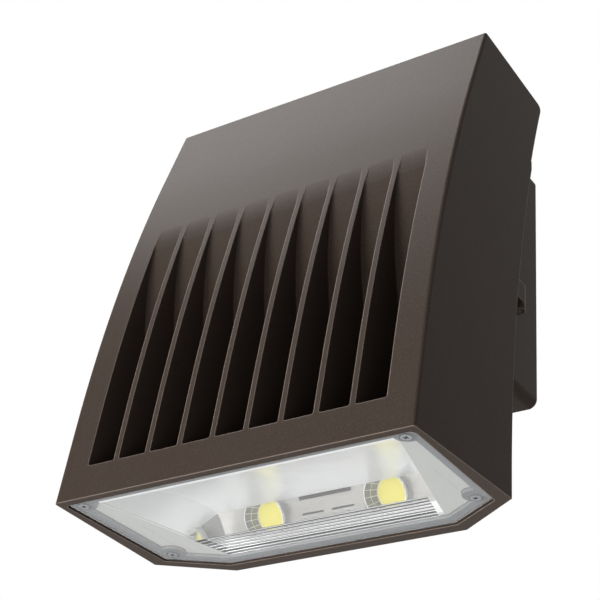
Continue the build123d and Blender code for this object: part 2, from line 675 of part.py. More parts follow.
def door_housing():
    """The die-cast front housing."""
    body = housing_body()
    body = body + box_slab(0, SIDE_DEPTH, PARTING_DEPTH)
    body = body - block(
        (-BOX_HALF_WIDTH - BESIDE_BOX_GAP, BOX_HALF_WIDTH + BESIDE_BOX_GAP), (PARTING_DEPTH, DEPTH),
        (BOX_BOTTOM, BOX_TOP + OVERHANG_GAP))
    body = body - shell_hollow() - driver_compartment() - chamber() - rear_pocket()
    for slot in slots():
        body = body - slot
    for arm in hinge_arms():
        body = body + arm
    body = body + screw_ear()
    groove_outer = box_slab(DOOR_GASKET_INSET, PARTING_DEPTH - DOOR_GASKET_GROOVE, PARTING_DEPTH + 1)
    groove_inner = box_slab(
        DOOR_GASKET_INSET + DOOR_GASKET_WIDTH, PARTING_DEPTH - DOOR_GASKET_GROOVE - 1, PARTING_DEPTH + 2)
    body = body - (groove_outer - groove_inner)
    for x, height in BOSSES:
        start = front_depth(height) + FRONT_WALL
        body = body + (stud(x, (start, DRIVER_SEAT), height, BOSS_RADIUS) & driver_boss_zone())
    for x, height in BOSSES:
        hole = (DRIVER_SEAT - BOSS_SCREW_LENGTH + DRIVER_TAB_THICKNESS, DRIVER_SEAT + 1)
        body = body - stud(x, hole, height, BOSS_SCREW_RADIUS)
    for x, depth in LENS_SCREWS:
        hole = post(x, depth, (LEDGE - 1, LENS_RECESS + LENS_SCREW_LENGTH), LENS_SCREW_RADIUS)
        body = body - both_sides(hole)
    wires = (roof_height(WIRE_DEPTH - WIRE_BORE) - 1, COMPARTMENT_FLOOR + 1)
    body = body - both_sides(post(LED_X, WIRE_DEPTH, wires, WIRE_BORE))
    depth = LED_BACK + HOLDER_OVER_BOARD + LED_BOARD_THICKNESS - HOLDER_SCREW_LENGTH - 0.5
    for x in HOLDER_SCREWS:
        body = body - LED_PLANE * Pos(x, 0, depth / 2) * Cylinder(HOLDER_SCREW_RADIUS, -depth)
    return body


def driver_boss_zone():
    """Where the bosses may stand: from the slot floor's wall back to the collar."""
    half = BOX_HALF_WIDTH - COLLAR_WALL / 2
    bow = Pos(*point(0, SLOT_FLOOR_DEPTH, SLOT_FLOOR_HEIGHT)) * Rot(0, 90, 0) * Cylinder(
        SLOT_FLOOR_RADIUS - SLOT_FLOOR_WALL / 2, 2 * FRONT_WIDTH)
    return block((-half, half), (0, PARTING_DEPTH), (BOX_BOTTOM, BOX_TOP)) & bow


# ---------------------------------------------------------------- back box
def back_box():
    """The die-cast box that is fixed to the wall and carries the hinge."""
    front = PARTING_DEPTH + SEAM
    body = box_slab(0, front, DEPTH)
    body = body - box_slab(BOX_WALL, front - 1, DEPTH - BOX_REAR_WALL)
    ring = box_slab(WALL_GASKET_INSET, DEPTH - WALL_GASKET_DEPTH, DEPTH + 1)
    ring = ring - box_slab(
        WALL_GASKET_INSET + WALL_GASKET_WIDTH, DEPTH - WALL_GASKET_DEPTH - 1, DEPTH + 2)
    body = body - ring
    for side in (-1, 1):
        boss_top = BOX_BOTTOM + CONDUIT_LENGTH
        depth = DEPTH - CONDUIT_Y
        boss = post(side * CONDUIT_X, depth, (BOX_BOTTOM, boss_top), CONDUIT_BOSS)
        body = body + (boss & box_slab(0, front, DEPTH - WALL_GASKET_DEPTH - 1))
        body = body - post(side * CONDUIT_X, depth, (BOX_BOTTOM - 1, boss_top + 1), CONDUIT_RADIUS)
    for lug_top in HINGE_HEIGHTS:
        span = (lug_top - HINGE_LUG_THICKNESS, lug_top)
        lug = post(HINGE_X, HINGE_DEPTH, span, HINGE_LUG_RADIUS)
        lug = lug + block(
            (BOX_HALF_WIDTH - BOX_WALL / 2, HINGE_X),
            (front, HINGE_DEPTH + HINGE_LUG_RADIUS), span)
        body = body + lug
        body = body - post(HINGE_X, HINGE_DEPTH, (span[0] - 1, span[1] + 1), HINGE_PIN_RADIUS)
    span = (SCREW_HEIGHT - EAR_HALF, SCREW_HEIGHT + EAR_HALF)
    lug = block((SCREW_X, -BOX_HALF_WIDTH + BOX_WALL / 2), (front, front + LUG_DEPTH), span)
    lug = lug + stud(SCREW_X, (front, front + LUG_DEPTH), SCREW_HEIGHT, EAR_HALF)
    body = body + lug
    body = body - stud(
        SCREW_X, (front - 1, front + LUG_DEPTH + 1), SCREW_HEIGHT,
        SCREW_SHANK_RADIUS + SCREW_LUG_CLEARANCE)
    rear = (DEPTH - BOX_REAR_WALL - 1, DEPTH + 1)
    for x in (-WALL_HOLE_X, WALL_HOLE_X):
        for z in (-WALL_HOLE_Z, WALL_HOLE_Z):
            body = body - stud(x, rear, MOUNT_HEIGHT + z, WALL_HOLE_RADIUS)
    body = body - stud(0, rear, MOUNT_HEIGHT, WIRE_ENTRY_RADIUS)
    slot = Plane.XZ * SlotOverall(JUNCTION_SLOT, 2 * JUNCTION_SLOT_RADIUS)
    cutter = extrude(slot, amount=BOX_REAR_WALL + 1, both=True)
    for x in (-JUNCTION_HALF, JUNCTION_HALF):
        body = body - Pos(x, 0, 0) * cutter
    seat = DEPTH - BOX_REAR_WALL
    boss = seat - GROUND_BOSS
    body = body + stud(GROUND_X, (boss, seat), MOUNT_HEIGHT + GROUND_Z, BOSS_RADIUS)
    hole = (boss - 1, boss + GROUND_SCREW_LENGTH + 1)
    return body - stud(GROUND_X, hole, MOUNT_HEIGHT + GROUND_Z, BOSS_SCREW_RADIUS)


def wall_gasket():
    """The flat gasket in the groove of the back box's rear face."""
    ring = box_slab(WALL_GASKET_INSET, DEPTH - WALL_GASKET_DEPTH, DEPTH)
    return ring - box_slab(
        WALL_GASKET_INSET + WALL_GASKET_WIDTH, DEPTH - WALL_GASKET_DEPTH - 1, DEPTH + 1)


def door_gasket():
    """The silicone gasket between the door's collar and the back box."""
    near = PARTING_DEPTH - DOOR_GASKET_GROOVE
    far = PARTING_DEPTH + SEAM
    ring = box_slab(DOOR_GASKET_INSET, near, far)
    return ring - box_slab(DOOR_GASKET_INSET + DOOR_GASKET_WIDTH, near - 1, far + 1)


def conduit_plug(side):
    """A threaded plug with a square socket, flush in one conduit entry."""
    x = side * CONDUIT_X
    depth = DEPTH - CONDUIT_Y
    plug = post(x, depth, (BOX_BOTTOM, BOX_BOTTOM + CONDUIT_LENGTH), CONDUIT_RADIUS - PLUG_FIT)
    half = PLUG_SOCKET
    return plug - block(
        (x - half, x + half), (depth - half, depth + half), (BOX_BOTTOM - 1, BOX_BOTTOM + half))


def hinge_pin(lug_top):
    """A steel pin pressed into a lug of the back box."""
    span = (lug_top - HINGE_LUG_THICKNESS, lug_top + HINGE_PIN_STAND)
    return post(HINGE_X, HINGE_DEPTH, span, HINGE_PIN_RADIUS)


def ground_screw():
    """The earth screw in the back box."""
    seat = DEPTH - BOX_REAR_WALL - GROUND_BOSS
    height = MOUNT_HEIGHT + GROUND_Z
    top = seat - GROUND_HEAD_HEIGHT
    head = stud(GROUND_X, (top, seat), height, GROUND_HEAD_RADIUS)
    shank = stud(GROUND_X, (seat, seat + GROUND_SCREW_LENGTH), height, BOSS_SCREW_RADIUS)
    return head + shank - screw_slot(GROUND_X, top, height, GROUND_HEAD_RADIUS)


def terminal_block():
    """The three-pole block on the rear wall that takes the supply wires."""
    seat = DEPTH - BOX_REAR_WALL
    top = seat - TERMINAL_DEPTH
    low = MOUNT_HEIGHT + TERMINAL_Z - TERMINAL_HEIGHT / 2
    body = block((-TERMINAL_HALF, TERMINAL_HALF), (top, seat), (low, low + TERMINAL_HEIGHT))
    for x in (-TERMINAL_PITCH, 0, TERMINAL_PITCH):
        well = (top - 1, top + TERMINAL_DEPTH / 2)
        body = body - stud(x, well, low + TERMINAL_HEIGHT * 2 / 3, TERMINAL_SCREW_RADIUS)
        wire = (x - TERMINAL_WIRE / 2, x + TERMINAL_WIRE / 2)
        depths = (seat - TERMINAL_WIRE / 2 - TERMINAL_WIRE, seat - TERMINAL_WIRE / 2)
        body = body - block(wire, depths, (low - 1, low + TERMINAL_HEIGHT / 3))
    return body


# ---------------------------------------------------------------- captive screw
def door_screw():
    """The captive screw that closes the door, with a slotted hexagon head."""
    near = PARTING_DEPTH - EAR_THICKNESS
    tip = PARTING_DEPTH + SEAM + SCREW_TIP
    shank = stud(SCREW_X, (near, tip), SCREW_HEIGHT, SCREW_SHANK_RADIUS)
    centre = Pos(*point(SCREW_X, near, SCREW_HEIGHT))
    head = extrude(centre * (Plane.XZ * RegularPolygon(SCREW_HEAD_RADIUS, 6)), amount=SCREW_HEAD_HEIGHT)
    return shank + head - screw_slot(SCREW_X, near - SCREW_HEAD_HEIGHT, SCREW_HEIGHT, SCREW_HEAD_RADIUS)


def screw_retainer():
    """The push-on washer that keeps the screw in its ear."""
    near = PARTING_DEPTH + (SEAM - RETAINER_THICKNESS) / 2
    ring = stud(SCREW_X, (near, near + RETAINER_THICKNESS), SCREW_HEIGHT, RETAINER_RADIUS)
    return ring - stud(SCREW_X, (near - 1, near + 2), SCREW_HEIGHT, SCREW_SHANK_RADIUS)


# ---------------------------------------------------------------- lens
def lens():
    """The clear lens with its screw seats and the prism ribs on its inner face."""
    body = raised(lens_face(), LENS_RECESS, LENS_TOP)
    body = fillet(body.edges().group_by(Axis.Z)[0], LENS_EDGE_ROUND)
    ribs = []
    for index in range(PRISM_COUNT):
        start = PRISM_FIRST + index * PRISM_PITCH
        rib = side_polygon(
            (start, LENS_TOP - PRISM_ROOT), (start, LENS_TOP),
            (start + PRISM_WIDTH, LENS_TOP + PRISM_HEIGHT), (start + PRISM_WIDTH, LENS_TOP - PRISM_ROOT))
        ribs.append(across(rib, MOUTH_FRONT_HALF))
    inside = raised(mouth_face(MOUTH_FRONT, LENS_BACK, -PRISM_MARGIN), 0, LEDGE)
    for rib in ribs:
        body = body + (rib & inside)
    for x, depth in LENS_SCREWS:
        hole = post(x, depth, (0, LEDGE), LENS_SCREW_RADIUS + HOLE_CLEARANCE)
        seat = post(x, depth, (0, LENS_RECESS + LENS_SCREW_HEAD_HEIGHT), LENS_SCREW_HEAD + HOLE_CLEARANCE)
        body = body - both_sides(hole + seat)
    return body


def lens_gasket():
    """The gasket between lens and ledge, widened round the lens screws."""
    outer = lens_face(LENS_GASKET_INSET)
    inner = ledge_face(LEDGE_WIDTH, LENS_SCREW_LOBE)
    ring = raised(outer, LENS_TOP, LEDGE) - raised(inner, LENS_TOP - 1, LEDGE + 1)
    return ring - raised(lens_screw_faces(LENS_SCREW_RADIUS + HOLE_CLEARANCE), 0, LEDGE + 1)


def lens_screws():
    """The four screws that hold the lens."""
    screws = []
    for x, depth in LENS_SCREWS:
        seat = LENS_RECESS + LENS_SCREW_HEAD_HEIGHT
        head = post(x, depth, (LENS_RECESS, seat), LENS_SCREW_HEAD)
        shank = post(x, depth, (seat, LENS_RECESS + LENS_SCREW_LENGTH - 1), LENS_SCREW_RADIUS)
        screw = head + shank
        for angle in (45, 135):
            cross = Rot(0, 0, angle) * Box(LENS_SCREW_HEAD, CROSS_WIDTH, 2 * CROSS_DEPTH)
            screw = screw - Pos(*point(x, depth, LENS_RECESS)) * cross
        screws.append(screw)
        screws.append(mirror(screw, about=Plane.YZ))
    return Compound(children=[solid for screw in screws for solid in screw.solids()])


# ---------------------------------------------------------------- reflectors
def reflector_line(inset=0.0):
    """Corner places of the reflector's inner surface, from the front lip to the rear lip."""
    low = PLATE_TOP + inset
    crease = led_place(BAND_UP, BAND)
    foot = led_place(-BAND_DOWN, BAND)
    return [(MOUTH_FRONT + inset, low), (CEILING_DEPTH, CEILING_HEIGHT - inset), crease, foot]


def reflector_hollow(grow=0.0):
    """The space inside the reflector, seen from the side, grown outwards by a wall."""
    front, middle, crease, foot = reflector_line()
    tilt = radians(LED_TILT)
    front = (front[0] - grow, front[1] - 0.01)
    middle = (middle[0], middle[1] + grow)
    crease = (crease[0] + grow * cos(tilt), crease[1] + grow)
    foot = (foot[0] + grow * cos(tilt), foot[1] + grow * sin(tilt))
    back = (foot[0], PLATE_TOP - 0.01)
    return side_face(
        ThreePointArc(at(*front), at(*middle), at(*crease)),
        Line(at(*crease), at(*foot)),
        Line(at(*foot), at(*back)),
        Line(at(*back), at(*front)),
    )


def cup_halves(led_x):
    """The flared walls beside one LED, that stand out through the reflector's band."""
    outer = Cone(CUP_BASE_RADIUS + CUP_WALL, CUP_RADIUS + CUP_WALL, CUP_LENGTH)
    inner = Cone(CUP_BASE_RADIUS, CUP_RADIUS, CUP_LENGTH)
    ring = Pos(led_x, 0, CUP_LENGTH / 2) * (outer - inner)
    middle = (BAND_UP - BAND_DOWN) / 2
    band = Pos(led_x, middle, 0) * Box(4 * CUP_RADIUS, BAND_UP + BAND_DOWN, 4 * CUP_LENGTH)
    return LED_PLANE * Pos(0, 0, CUP_GAP) * (ring & band)


def reflector():
    """The bent sheet over the LEDs: curved ceiling, tilted band with two cups, and lips."""
    shell = across(reflector_hollow(SHEET) - reflector_hollow(), FRONT_WIDTH)
    foot = led_place(-BAND_DOWN, BAND)
    wide = (-FRONT_WIDTH, FRONT_WIDTH)
    lips = block(wide, (LIP_FRONT + PLATE_CLEARANCE, MOUTH_FRONT), (PLATE_BOTTOM, PLATE_TOP))
    lips = lips + block(wide, (foot[0], LIP_BACK - PLATE_CLEARANCE), (PLATE_BOTTOM, PLATE_TOP))
    lips = lips & raised(
        ledge_face(LEDGE_WIDTH + PLATE_CLEARANCE, LENS_SCREW_LOBE + PLATE_CLEARANCE), 0, LEDGE + 2)
    sheet = (shell + lips) & raised(mouth_face(LIP_FRONT, LIP_BACK), 0, CHAMBER_TOP)
    band = across(side_polygon(
        led_place(BAND_UP, -BAND), led_place(BAND_UP, 4 * BAND),
        led_place(-BAND_DOWN, 4 * BAND), led_place(-BAND_DOWN, -BAND)), FRONT_WIDTH)
    at_band = CUP_BASE_RADIUS + (CUP_RADIUS - CUP_BASE_RADIUS) * (BAND - CUP_GAP) / CUP_LENGTH
    for x in (-LED_X, LED_X):
        window = LED_PLANE * Pos(x, 0, BAND) * Cylinder(at_band + CUP_WALL / 2, 3 * BAND)
        sheet = sheet - (window & band) + cup_halves(x)
    side = (BAND_SLOT_HALF - END_TAB / 2, END_SLOT_WIDTH, 4 * SHEET)
    middle = (BAND_SLOT_HALF + END_TAB / 2) / 2
    for x in (-middle, middle):
        sheet = sheet - LED_PLANE * Pos(x, BAND_SLOT_UP, BAND) * Box(*side)
    crease = (2 * BAND_SLOT_HALF, CREASE_SLOT, 4 * SHEET)
    return sheet - LED_PLANE * Pos(0, BAND_UP - CREASE_SLOT / 2, BAND) * Box(*crease)


def reflector_end(side):
    """An end reflector: an upright mirror wall with a flat plate that seats on the ledge."""
    wall = across(reflector_hollow(), FRONT_WIDTH) & raised(
        mouth_face(MOUTH_FRONT - 1, CHAMBER_BACK) - mouth_face(MOUTH_FRONT - 2, CHAMBER_BACK + 1, -SHEET),
        0, CHAMBER_TOP)
    plate = raised(
        ledge_face(LEDGE_WIDTH + PLATE_CLEARANCE, LENS_SCREW_LOBE + PLATE_CLEARANCE)
        - mouth_face(0, DEPTH), PLATE_BOTTOM, PLATE_TOP)
    both = wall + plate
    middle = sum(END_SLOT) / 2
    slot_x = mouth_half(middle) + END_SLOT_OUT
    width = (slot_x - END_SLOT_WIDTH / 2, slot_x + END_SLOT_WIDTH / 2)
    slot = block(width, END_SLOT, (0, LEDGE + END_SLOT_WIDTH))
    tab = block(width, (middle - END_TAB / 2, middle + END_TAB / 2), (PLATE_BOTTOM, PLATE_TOP))
    both = both - both_sides(slot) + both_sides(tab)
    half = block((0, FRONT_WIDTH), (0, DEPTH), (0, CHAMBER_TOP)) if side > 0 else block(
        (-FRONT_WIDTH, 0), (0, DEPTH), (0, CHAMBER_TOP))
    return both & half


def led_board(side):
    """The ceramic board of one LED, seated on the tilted wall."""
    board = Box(LED_BOARD, LED_BOARD, LED_BOARD_THICKNESS)
    return LED_PLANE * Pos(side * LED_X, 0, -LED_PHOSPHOR - LED_BOARD_THICKNESS / 2) * board


def led_holder(side):
    """The plastic frame that clamps one LED's board to the wall, open at its lower edge."""
    top = HOLDER_OVER_BOARD - LED_PHOSPHOR
    frame = Pos(0, HOLDER_BAR / 2, (top + LED_BACK) / 2) * Box(
        HOLDER_LENGTH, LED_BOARD + HOLDER_BAR, top - LED_BACK)
    room = LED_BOARD + 2 * HOLDER_CLEARANCE
    frame = frame - Pos(0, 0, (LED_BACK - LED_PHOSPHOR) / 2) * Box(room, room, -LED_BACK - LED_PHOSPHOR)
    frame = frame - Cylinder(HOLDER_HOLE_RADIUS, 4 * top)
    for x in (-HOLDER_SCREW_X, HOLDER_SCREW_X):
        frame = frame - Pos(x, 0, 0) * Cylinder(HOLDER_SCREW_RADIUS + HOLDER_CLEARANCE, 6 * top)
    return LED_PLANE * Pos(side * LED_X, 0, 0) * frame


def led_screws():
    """The screws that hold the two LED holders."""
    top = HOLDER_OVER_BOARD - LED_PHOSPHOR
    head = Pos(0, 0, top + HOLDER_SCREW_HEAD_HEIGHT / 2) * Cylinder(
        HOLDER_SCREW_HEAD, HOLDER_SCREW_HEAD_HEIGHT)
    shank = Pos(0, 0, top - HOLDER_SCREW_LENGTH / 2) * Cylinder(HOLDER_SCREW_RADIUS, HOLDER_SCREW_LENGTH)
    screw = (head + shank).solid()
    return Compound(children=[LED_PLANE * Pos(x, 0, 0) * screw for x in HOLDER_SCREWS])


def wire_grommets():
    """The rubber grommets in the floor between driver compartment and optical chamber."""
    rim = (COMPARTMENT_FLOOR, COMPARTMENT_FLOOR + GROMMET_FLANGE_THICKNESS)
    low = COMPARTMENT_FLOOR - GROMMET_NECK
    flange = post(LED_X, WIRE_DEPTH, rim, GROMMET_FLANGE)
    neck = post(LED_X, WIRE_DEPTH, (low, COMPARTMENT_FLOOR), WIRE_BORE)
    hole = post(LED_X, WIRE_DEPTH, (low - 1, rim[1] + 1), GROMMET_BORE)
    one = (flange + neck - hole).solid()
    return Compound(children=[one, mirror(one, about=Plane.YZ)])


def led_phosphor(side):
    """The round yellow emitting face of one LED."""
    return LED_PLANE * Pos(side * LED_X, 0, -LED_PHOSPHOR / 2) * Cylinder(LED_RADIUS, LED_PHOSPHOR)


# ---------------------------------------------------------------- driver compartment
def screwed_box(x, height, length, tall, deep):
    """A closed component with a slotted tab at each end, seated on two bosses."""
    half = length / 2
    body = block(
        (x - half, x + half), (DRIVER_SEAT, DRIVER_SEAT + deep), (height - tall / 2, height + tall / 2))
    body = fillet(body.edges().filter_by(Axis.X), COMPONENT_ROUND)
    end = half + DRIVER_TAB
    tab_face = DRIVER_SEAT + DRIVER_TAB_THICKNESS
    body = body + block(
        (x - end, x + end), (DRIVER_SEAT, tab_face), (height - DRIVER_TAB, height + DRIVER_TAB))
    for side in (-1, 1):
        place = x + side * (length + DRIVER_TAB) / 2
        body = body - stud(place, (DRIVER_SEAT - 1, tab_face + 1), height, BOSS_SCREW_RADIUS + HOLE_CLEARANCE)
    return body


def compartment_screws():
    """The screws that hold the driver and the surge protector on their bosses."""
    screws = []
    for x, height in BOSSES:
        face = DRIVER_SEAT + DRIVER_TAB_THICKNESS
        head = stud(x, (face, face + BOSS_SCREW_HEAD_HEIGHT), height, BOSS_SCREW_HEAD)
        shank = stud(x, (face - BOSS_SCREW_LENGTH + 1, face), height, BOSS_SCREW_RADIUS)
        screws.append(head + shank)
    return Compound(children=[solid for screw in screws for solid in screw.solids()])


# ---------------------------------------------------------------- write every sub-part
os.makedirs("parts", exist_ok=True)
write("back_box", back_box())
write("wall_gasket", wall_gasket())
write("conduit_plug_left", conduit_plug(-1))
write("conduit_plug_right", conduit_plug(1))
write("hinge_pin_lower", hinge_pin(HINGE_HEIGHTS[0]))
write("hinge_pin_upper", hinge_pin(HINGE_HEIGHTS[1]))
write("ground_screw", ground_screw())
write("terminal_block", terminal_block())
write("door_housing", door_housing())
write("door_gasket", door_gasket())
write("door_screw", door_screw())
write("screw_retainer", screw_retainer())
write("lens", lens())
write("lens_gasket", lens_gasket())
write("lens_screws", lens_screws())
write("reflector", reflector())
for name, side in (("left", -1), ("right", 1)):
    write(f"reflector_end_{name}", reflector_end(side))
    write(f"led_holder_{name}", led_holder(side))
    write(f"led_board_{name}", led_board(side))
    write(f"led_phosphor_{name}", led_phosphor(side))
write("driver", screwed_box(0, DRIVER_MIDDLE, DRIVER_LENGTH, DRIVER_HEIGHT, DRIVER_DEPTH))
write("surge_protector", screwed_box(SURGE_X, SURGE_MIDDLE, SURGE_LENGTH, SURGE_HEIGHT, SURGE_DEPTH))
write("compartment_screws", compartment_screws())
write("led_screws", led_screws())
write("wire_grommets", wire_grommets())
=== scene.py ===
"""Wall pack light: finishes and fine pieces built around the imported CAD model.

Everything is in metres in the part's own frame: +Z up, +Y into the wall, the origin in the middle
of the four wall screws. A place inside the housing is often given in millimetres as a depth,
measured from the front bottom edge towards the wall, and a height above the bottom rim.
"""
import logging
import math
from dataclasses import dataclass
from enum import Enum
from typing import Any, Iterable

import bmesh
import bpy
from mathutils import Matrix, Vector


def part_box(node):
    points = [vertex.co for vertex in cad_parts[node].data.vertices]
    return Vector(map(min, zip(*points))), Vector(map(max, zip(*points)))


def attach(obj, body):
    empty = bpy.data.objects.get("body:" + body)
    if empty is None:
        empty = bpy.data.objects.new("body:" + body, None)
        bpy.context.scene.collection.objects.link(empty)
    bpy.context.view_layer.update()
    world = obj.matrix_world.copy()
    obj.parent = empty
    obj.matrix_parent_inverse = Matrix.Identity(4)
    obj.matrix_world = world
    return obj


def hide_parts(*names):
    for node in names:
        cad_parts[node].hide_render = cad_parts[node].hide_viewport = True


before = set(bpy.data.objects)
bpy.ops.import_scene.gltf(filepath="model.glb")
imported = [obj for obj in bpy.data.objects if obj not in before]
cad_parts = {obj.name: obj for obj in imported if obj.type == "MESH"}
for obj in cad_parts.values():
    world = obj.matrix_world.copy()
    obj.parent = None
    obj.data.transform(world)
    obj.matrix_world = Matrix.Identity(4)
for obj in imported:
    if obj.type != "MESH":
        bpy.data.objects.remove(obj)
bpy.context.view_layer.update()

MM = 0.001

# depth of the wall face and height of the wall screws' middle, as depths and heights are given
DEPTH_MM = 171.0
MOUNT_HEIGHT_MM = 183.0
# how far down from straight ahead the LEDs look
LED_TILT_DEG = 30.0

# a Mix node's colour sockets share their names with others, so they go by number
MIX_SHARE, MIX_FIRST, MIX_SECOND, MIX_RESULT = 0, 6, 7, 2

# corners of a turned form that are closer than this, in metres, are one
MERGE_DISTANCE = 1e-6
# faces that meet at less than this are shaded smooth
SMOOTH_BELOW_DEG = 35.0
# least cosine to Z of a level face, and to the axis of a face that looks into a cup
LEVEL_COSINE = 0.9
INWARD_COSINE = 0.7
# the point that every lamp looks at
LAMP_TARGET = (0, -0.08, 0)

log = logging.getLogger("wall_pack_light")


# ---------------------------------------------------------------- places
def point(x: float, depth: float, height: float) -> Vector:
    """Turn X, depth and height in millimetres into a point of the part's frame in metres.

    Args:
        x: distance to the right of the middle.
        depth: distance from the front bottom edge towards the wall.
        height: distance above the bottom rim.

    Returns:
        The point in metres.
    """
    return Vector((x * MM, (depth - DEPTH_MM) * MM, (height - MOUNT_HEIGHT_MM) * MM))


@dataclass(frozen=True)
class LedPlane:
    """The tilted plane of the emitting faces: X across, Y up the wall, Z the way the light leaves.

    Attributes:
        depth: depth of the plane's middle line.
        height: height of the plane's middle line.
        tilt: degrees that it looks down from straight ahead.
        spread: distance of each LED from the middle.
    """

    depth: float = 111.5
    height: float = 25.0
    tilt: float = LED_TILT_DEG
    spread: float = 44.0

    def matrix(self, side: int) -> Matrix:
        """Give the matrix that carries a piece made round the origin to one LED's middle.

        Args:
            side: -1 for the left LED, 1 for the right.

        Returns:
            The matrix, in metres.
        """
        tilt = math.radians(self.tilt)
        across = Vector((1, 0, 0))
        out = Vector((0, -math.cos(tilt), -math.sin(tilt)))
        up = out.cross(across)
        turn = Matrix((across, up, out)).transposed().to_4x4()
        return Matrix.Translation(point(side * self.spread, self.depth, self.height)) @ turn


# ---------------------------------------------------------------- shader helpers
def srgb(colour: str) -> tuple[float, float, float, float]:
    """Turn an sRGB hex colour into linear RGBA.

    Args:
        colour: six hex digits after a hash.

    Returns:
        Linear red, green, blue and an alpha of one.
    """
    values = [int(colour[place:place + 2], 16) / 255 for place in (1, 3, 5)]
    linear = [v / 12.92 if v <= 0.04045 else ((v + 0.055) / 1.055) ** 2.4 for v in values]
    return (linear[0], linear[1], linear[2], 1.0)


def add_node(
    tree: bpy.types.NodeTree,
    kind: str,
    settings: dict[str, Any] | None = None,
    inputs: dict[str | int, Any] | None = None,
) -> bpy.types.Node:
    """Add a node, with its settings, input values and links.

    Args:
        tree: the node tree.
        kind: the node's type name.
        settings: properties of the node.
        inputs: for each input, a value, or an output socket to link.

    Returns:
        The new node.
    """
    node = tree.nodes.new(kind)
    for name, value in (settings or {}).items():
        setattr(node, name, value)
    for name, value in (inputs or {}).items():
        socket = node.inputs[name]
        if isinstance(value, bpy.types.NodeSocket):
            tree.links.new(value, socket)
        else:
            socket.default_value = value
    return node


def blank_material(name: str) -> bpy.types.Material:
    """Make a material whose node tree is empty.

    Args:
        name: the material's name.

    Returns:
        The material.
    """
    material = bpy.data.materials.new(name)
    material.use_nodes = True
    material.node_tree.nodes.clear()
    return material


class Grain(Enum):
    """How a finish's small relief is made."""

    NONE = "none"
    ORANGE_PEEL = "orange peel"
    SPARK = "spark-eroded mould"
    ROLLED = "rolled sheet"


@dataclass(frozen=True)
class Finish:
    """One real material with the surface that its making gave it.

    Attributes:
        name: the material's common name.
        colour: sRGB colour.
        roughness: microfacet roughness.
        metallic: 0 for a dielectric, 1 for bare metal.
        ior: index of refraction; a metal keeps the default.
        specular: Specular IOR Level.
        grain: how the relief is made.
        grain_mm: size of the relief's features.
        relief_mm: height of the relief.
        shade: sRGB colour of the darker patches.
        patch_mm: size of those patches.
        edge_mm: radius of the rounding that the shader gives to sharp edges.
    """

    name: str
    colour: str
    roughness: float
    metallic: float = 0.0
    ior: float = 1.5
    specular: float = 0.5
    grain: Grain = Grain.NONE
    grain_mm: float = 1.0
    relief_mm: float = 0.02
    shade: str | None = None
    patch_mm: float = 12.0
    edge_mm: float = 0.0

    def build(self) -> bpy.types.Material:
        """Make the material's node tree.

        Returns:
            The material.
        """
        material = blank_material(self.name)
        tree = material.node_tree
        place = add_node(tree, "ShaderNodeTexCoord").outputs["Object"]
        shader = add_node(tree, "ShaderNodeBsdfPrincipled", inputs={
            "Base Color": srgb(self.colour),
            "Roughness": self.roughness,
            "Metallic": self.metallic,
            "IOR": self.ior,
            "Specular IOR Level": self.specular,
        })
        if self.shade:
            patches = add_node(tree, "ShaderNodeTexNoise", inputs={
                "Vector": place, "Scale": 1 / (self.patch_mm * MM), "Detail": 3.0,
                "Roughness": 0.6})
            mixed = add_node(tree, "ShaderNodeMix", {"data_type": "RGBA"}, {
                MIX_SHARE: patches.outputs["Fac"],
                MIX_FIRST: srgb(self.colour),
                MIX_SECOND: srgb(self.shade)})
            tree.links.new(mixed.outputs[MIX_RESULT], shader.inputs["Base Color"])
        self.relief(tree, place, shader)
        out = add_node(tree, "ShaderNodeOutputMaterial")
        tree.links.new(shader.outputs[0], out.inputs[0])
        return material

    def relief(
        self, tree: bpy.types.NodeTree, place: bpy.types.NodeSocket, shader: bpy.types.Node
    ) -> None:
        """Link the small relief and the softened edges to the shader's normal.

        Args:
            tree: the material's node tree.
            place: the object coordinates.
            shader: the surface shader.
        """
        normal = None
        if self.edge_mm:
            edge = add_node(
                tree, "ShaderNodeBevel", {"samples": 6}, {"Radius": self.edge_mm * MM})
            normal = edge.outputs[0]
        if self.grain is not Grain.NONE:
            # rolling draws the grain out across the part
            stretch = (0.03, 1.0, 1.0) if self.grain is Grain.ROLLED else (1.0, 1.0, 1.0)
            drawn = add_node(
                tree, "ShaderNodeMapping", inputs={"Vector": place, "Scale": stretch})
            noise = add_node(tree, "ShaderNodeTexNoise", inputs={
                "Vector": drawn.outputs[0], "Scale": 1 / (self.grain_mm * MM),
                "Detail": 2.0, "Roughness": 0.55})
            bump = add_node(tree, "ShaderNodeBump", inputs={
                "Strength": 1.0, "Distance": self.relief_mm * MM,
                "Height": noise.outputs["Fac"]})
            if normal:
                tree.links.new(normal, bump.inputs["Normal"])
            normal = bump.outputs[0]
        if normal:
            tree.links.new(normal, shader.inputs["Normal"])


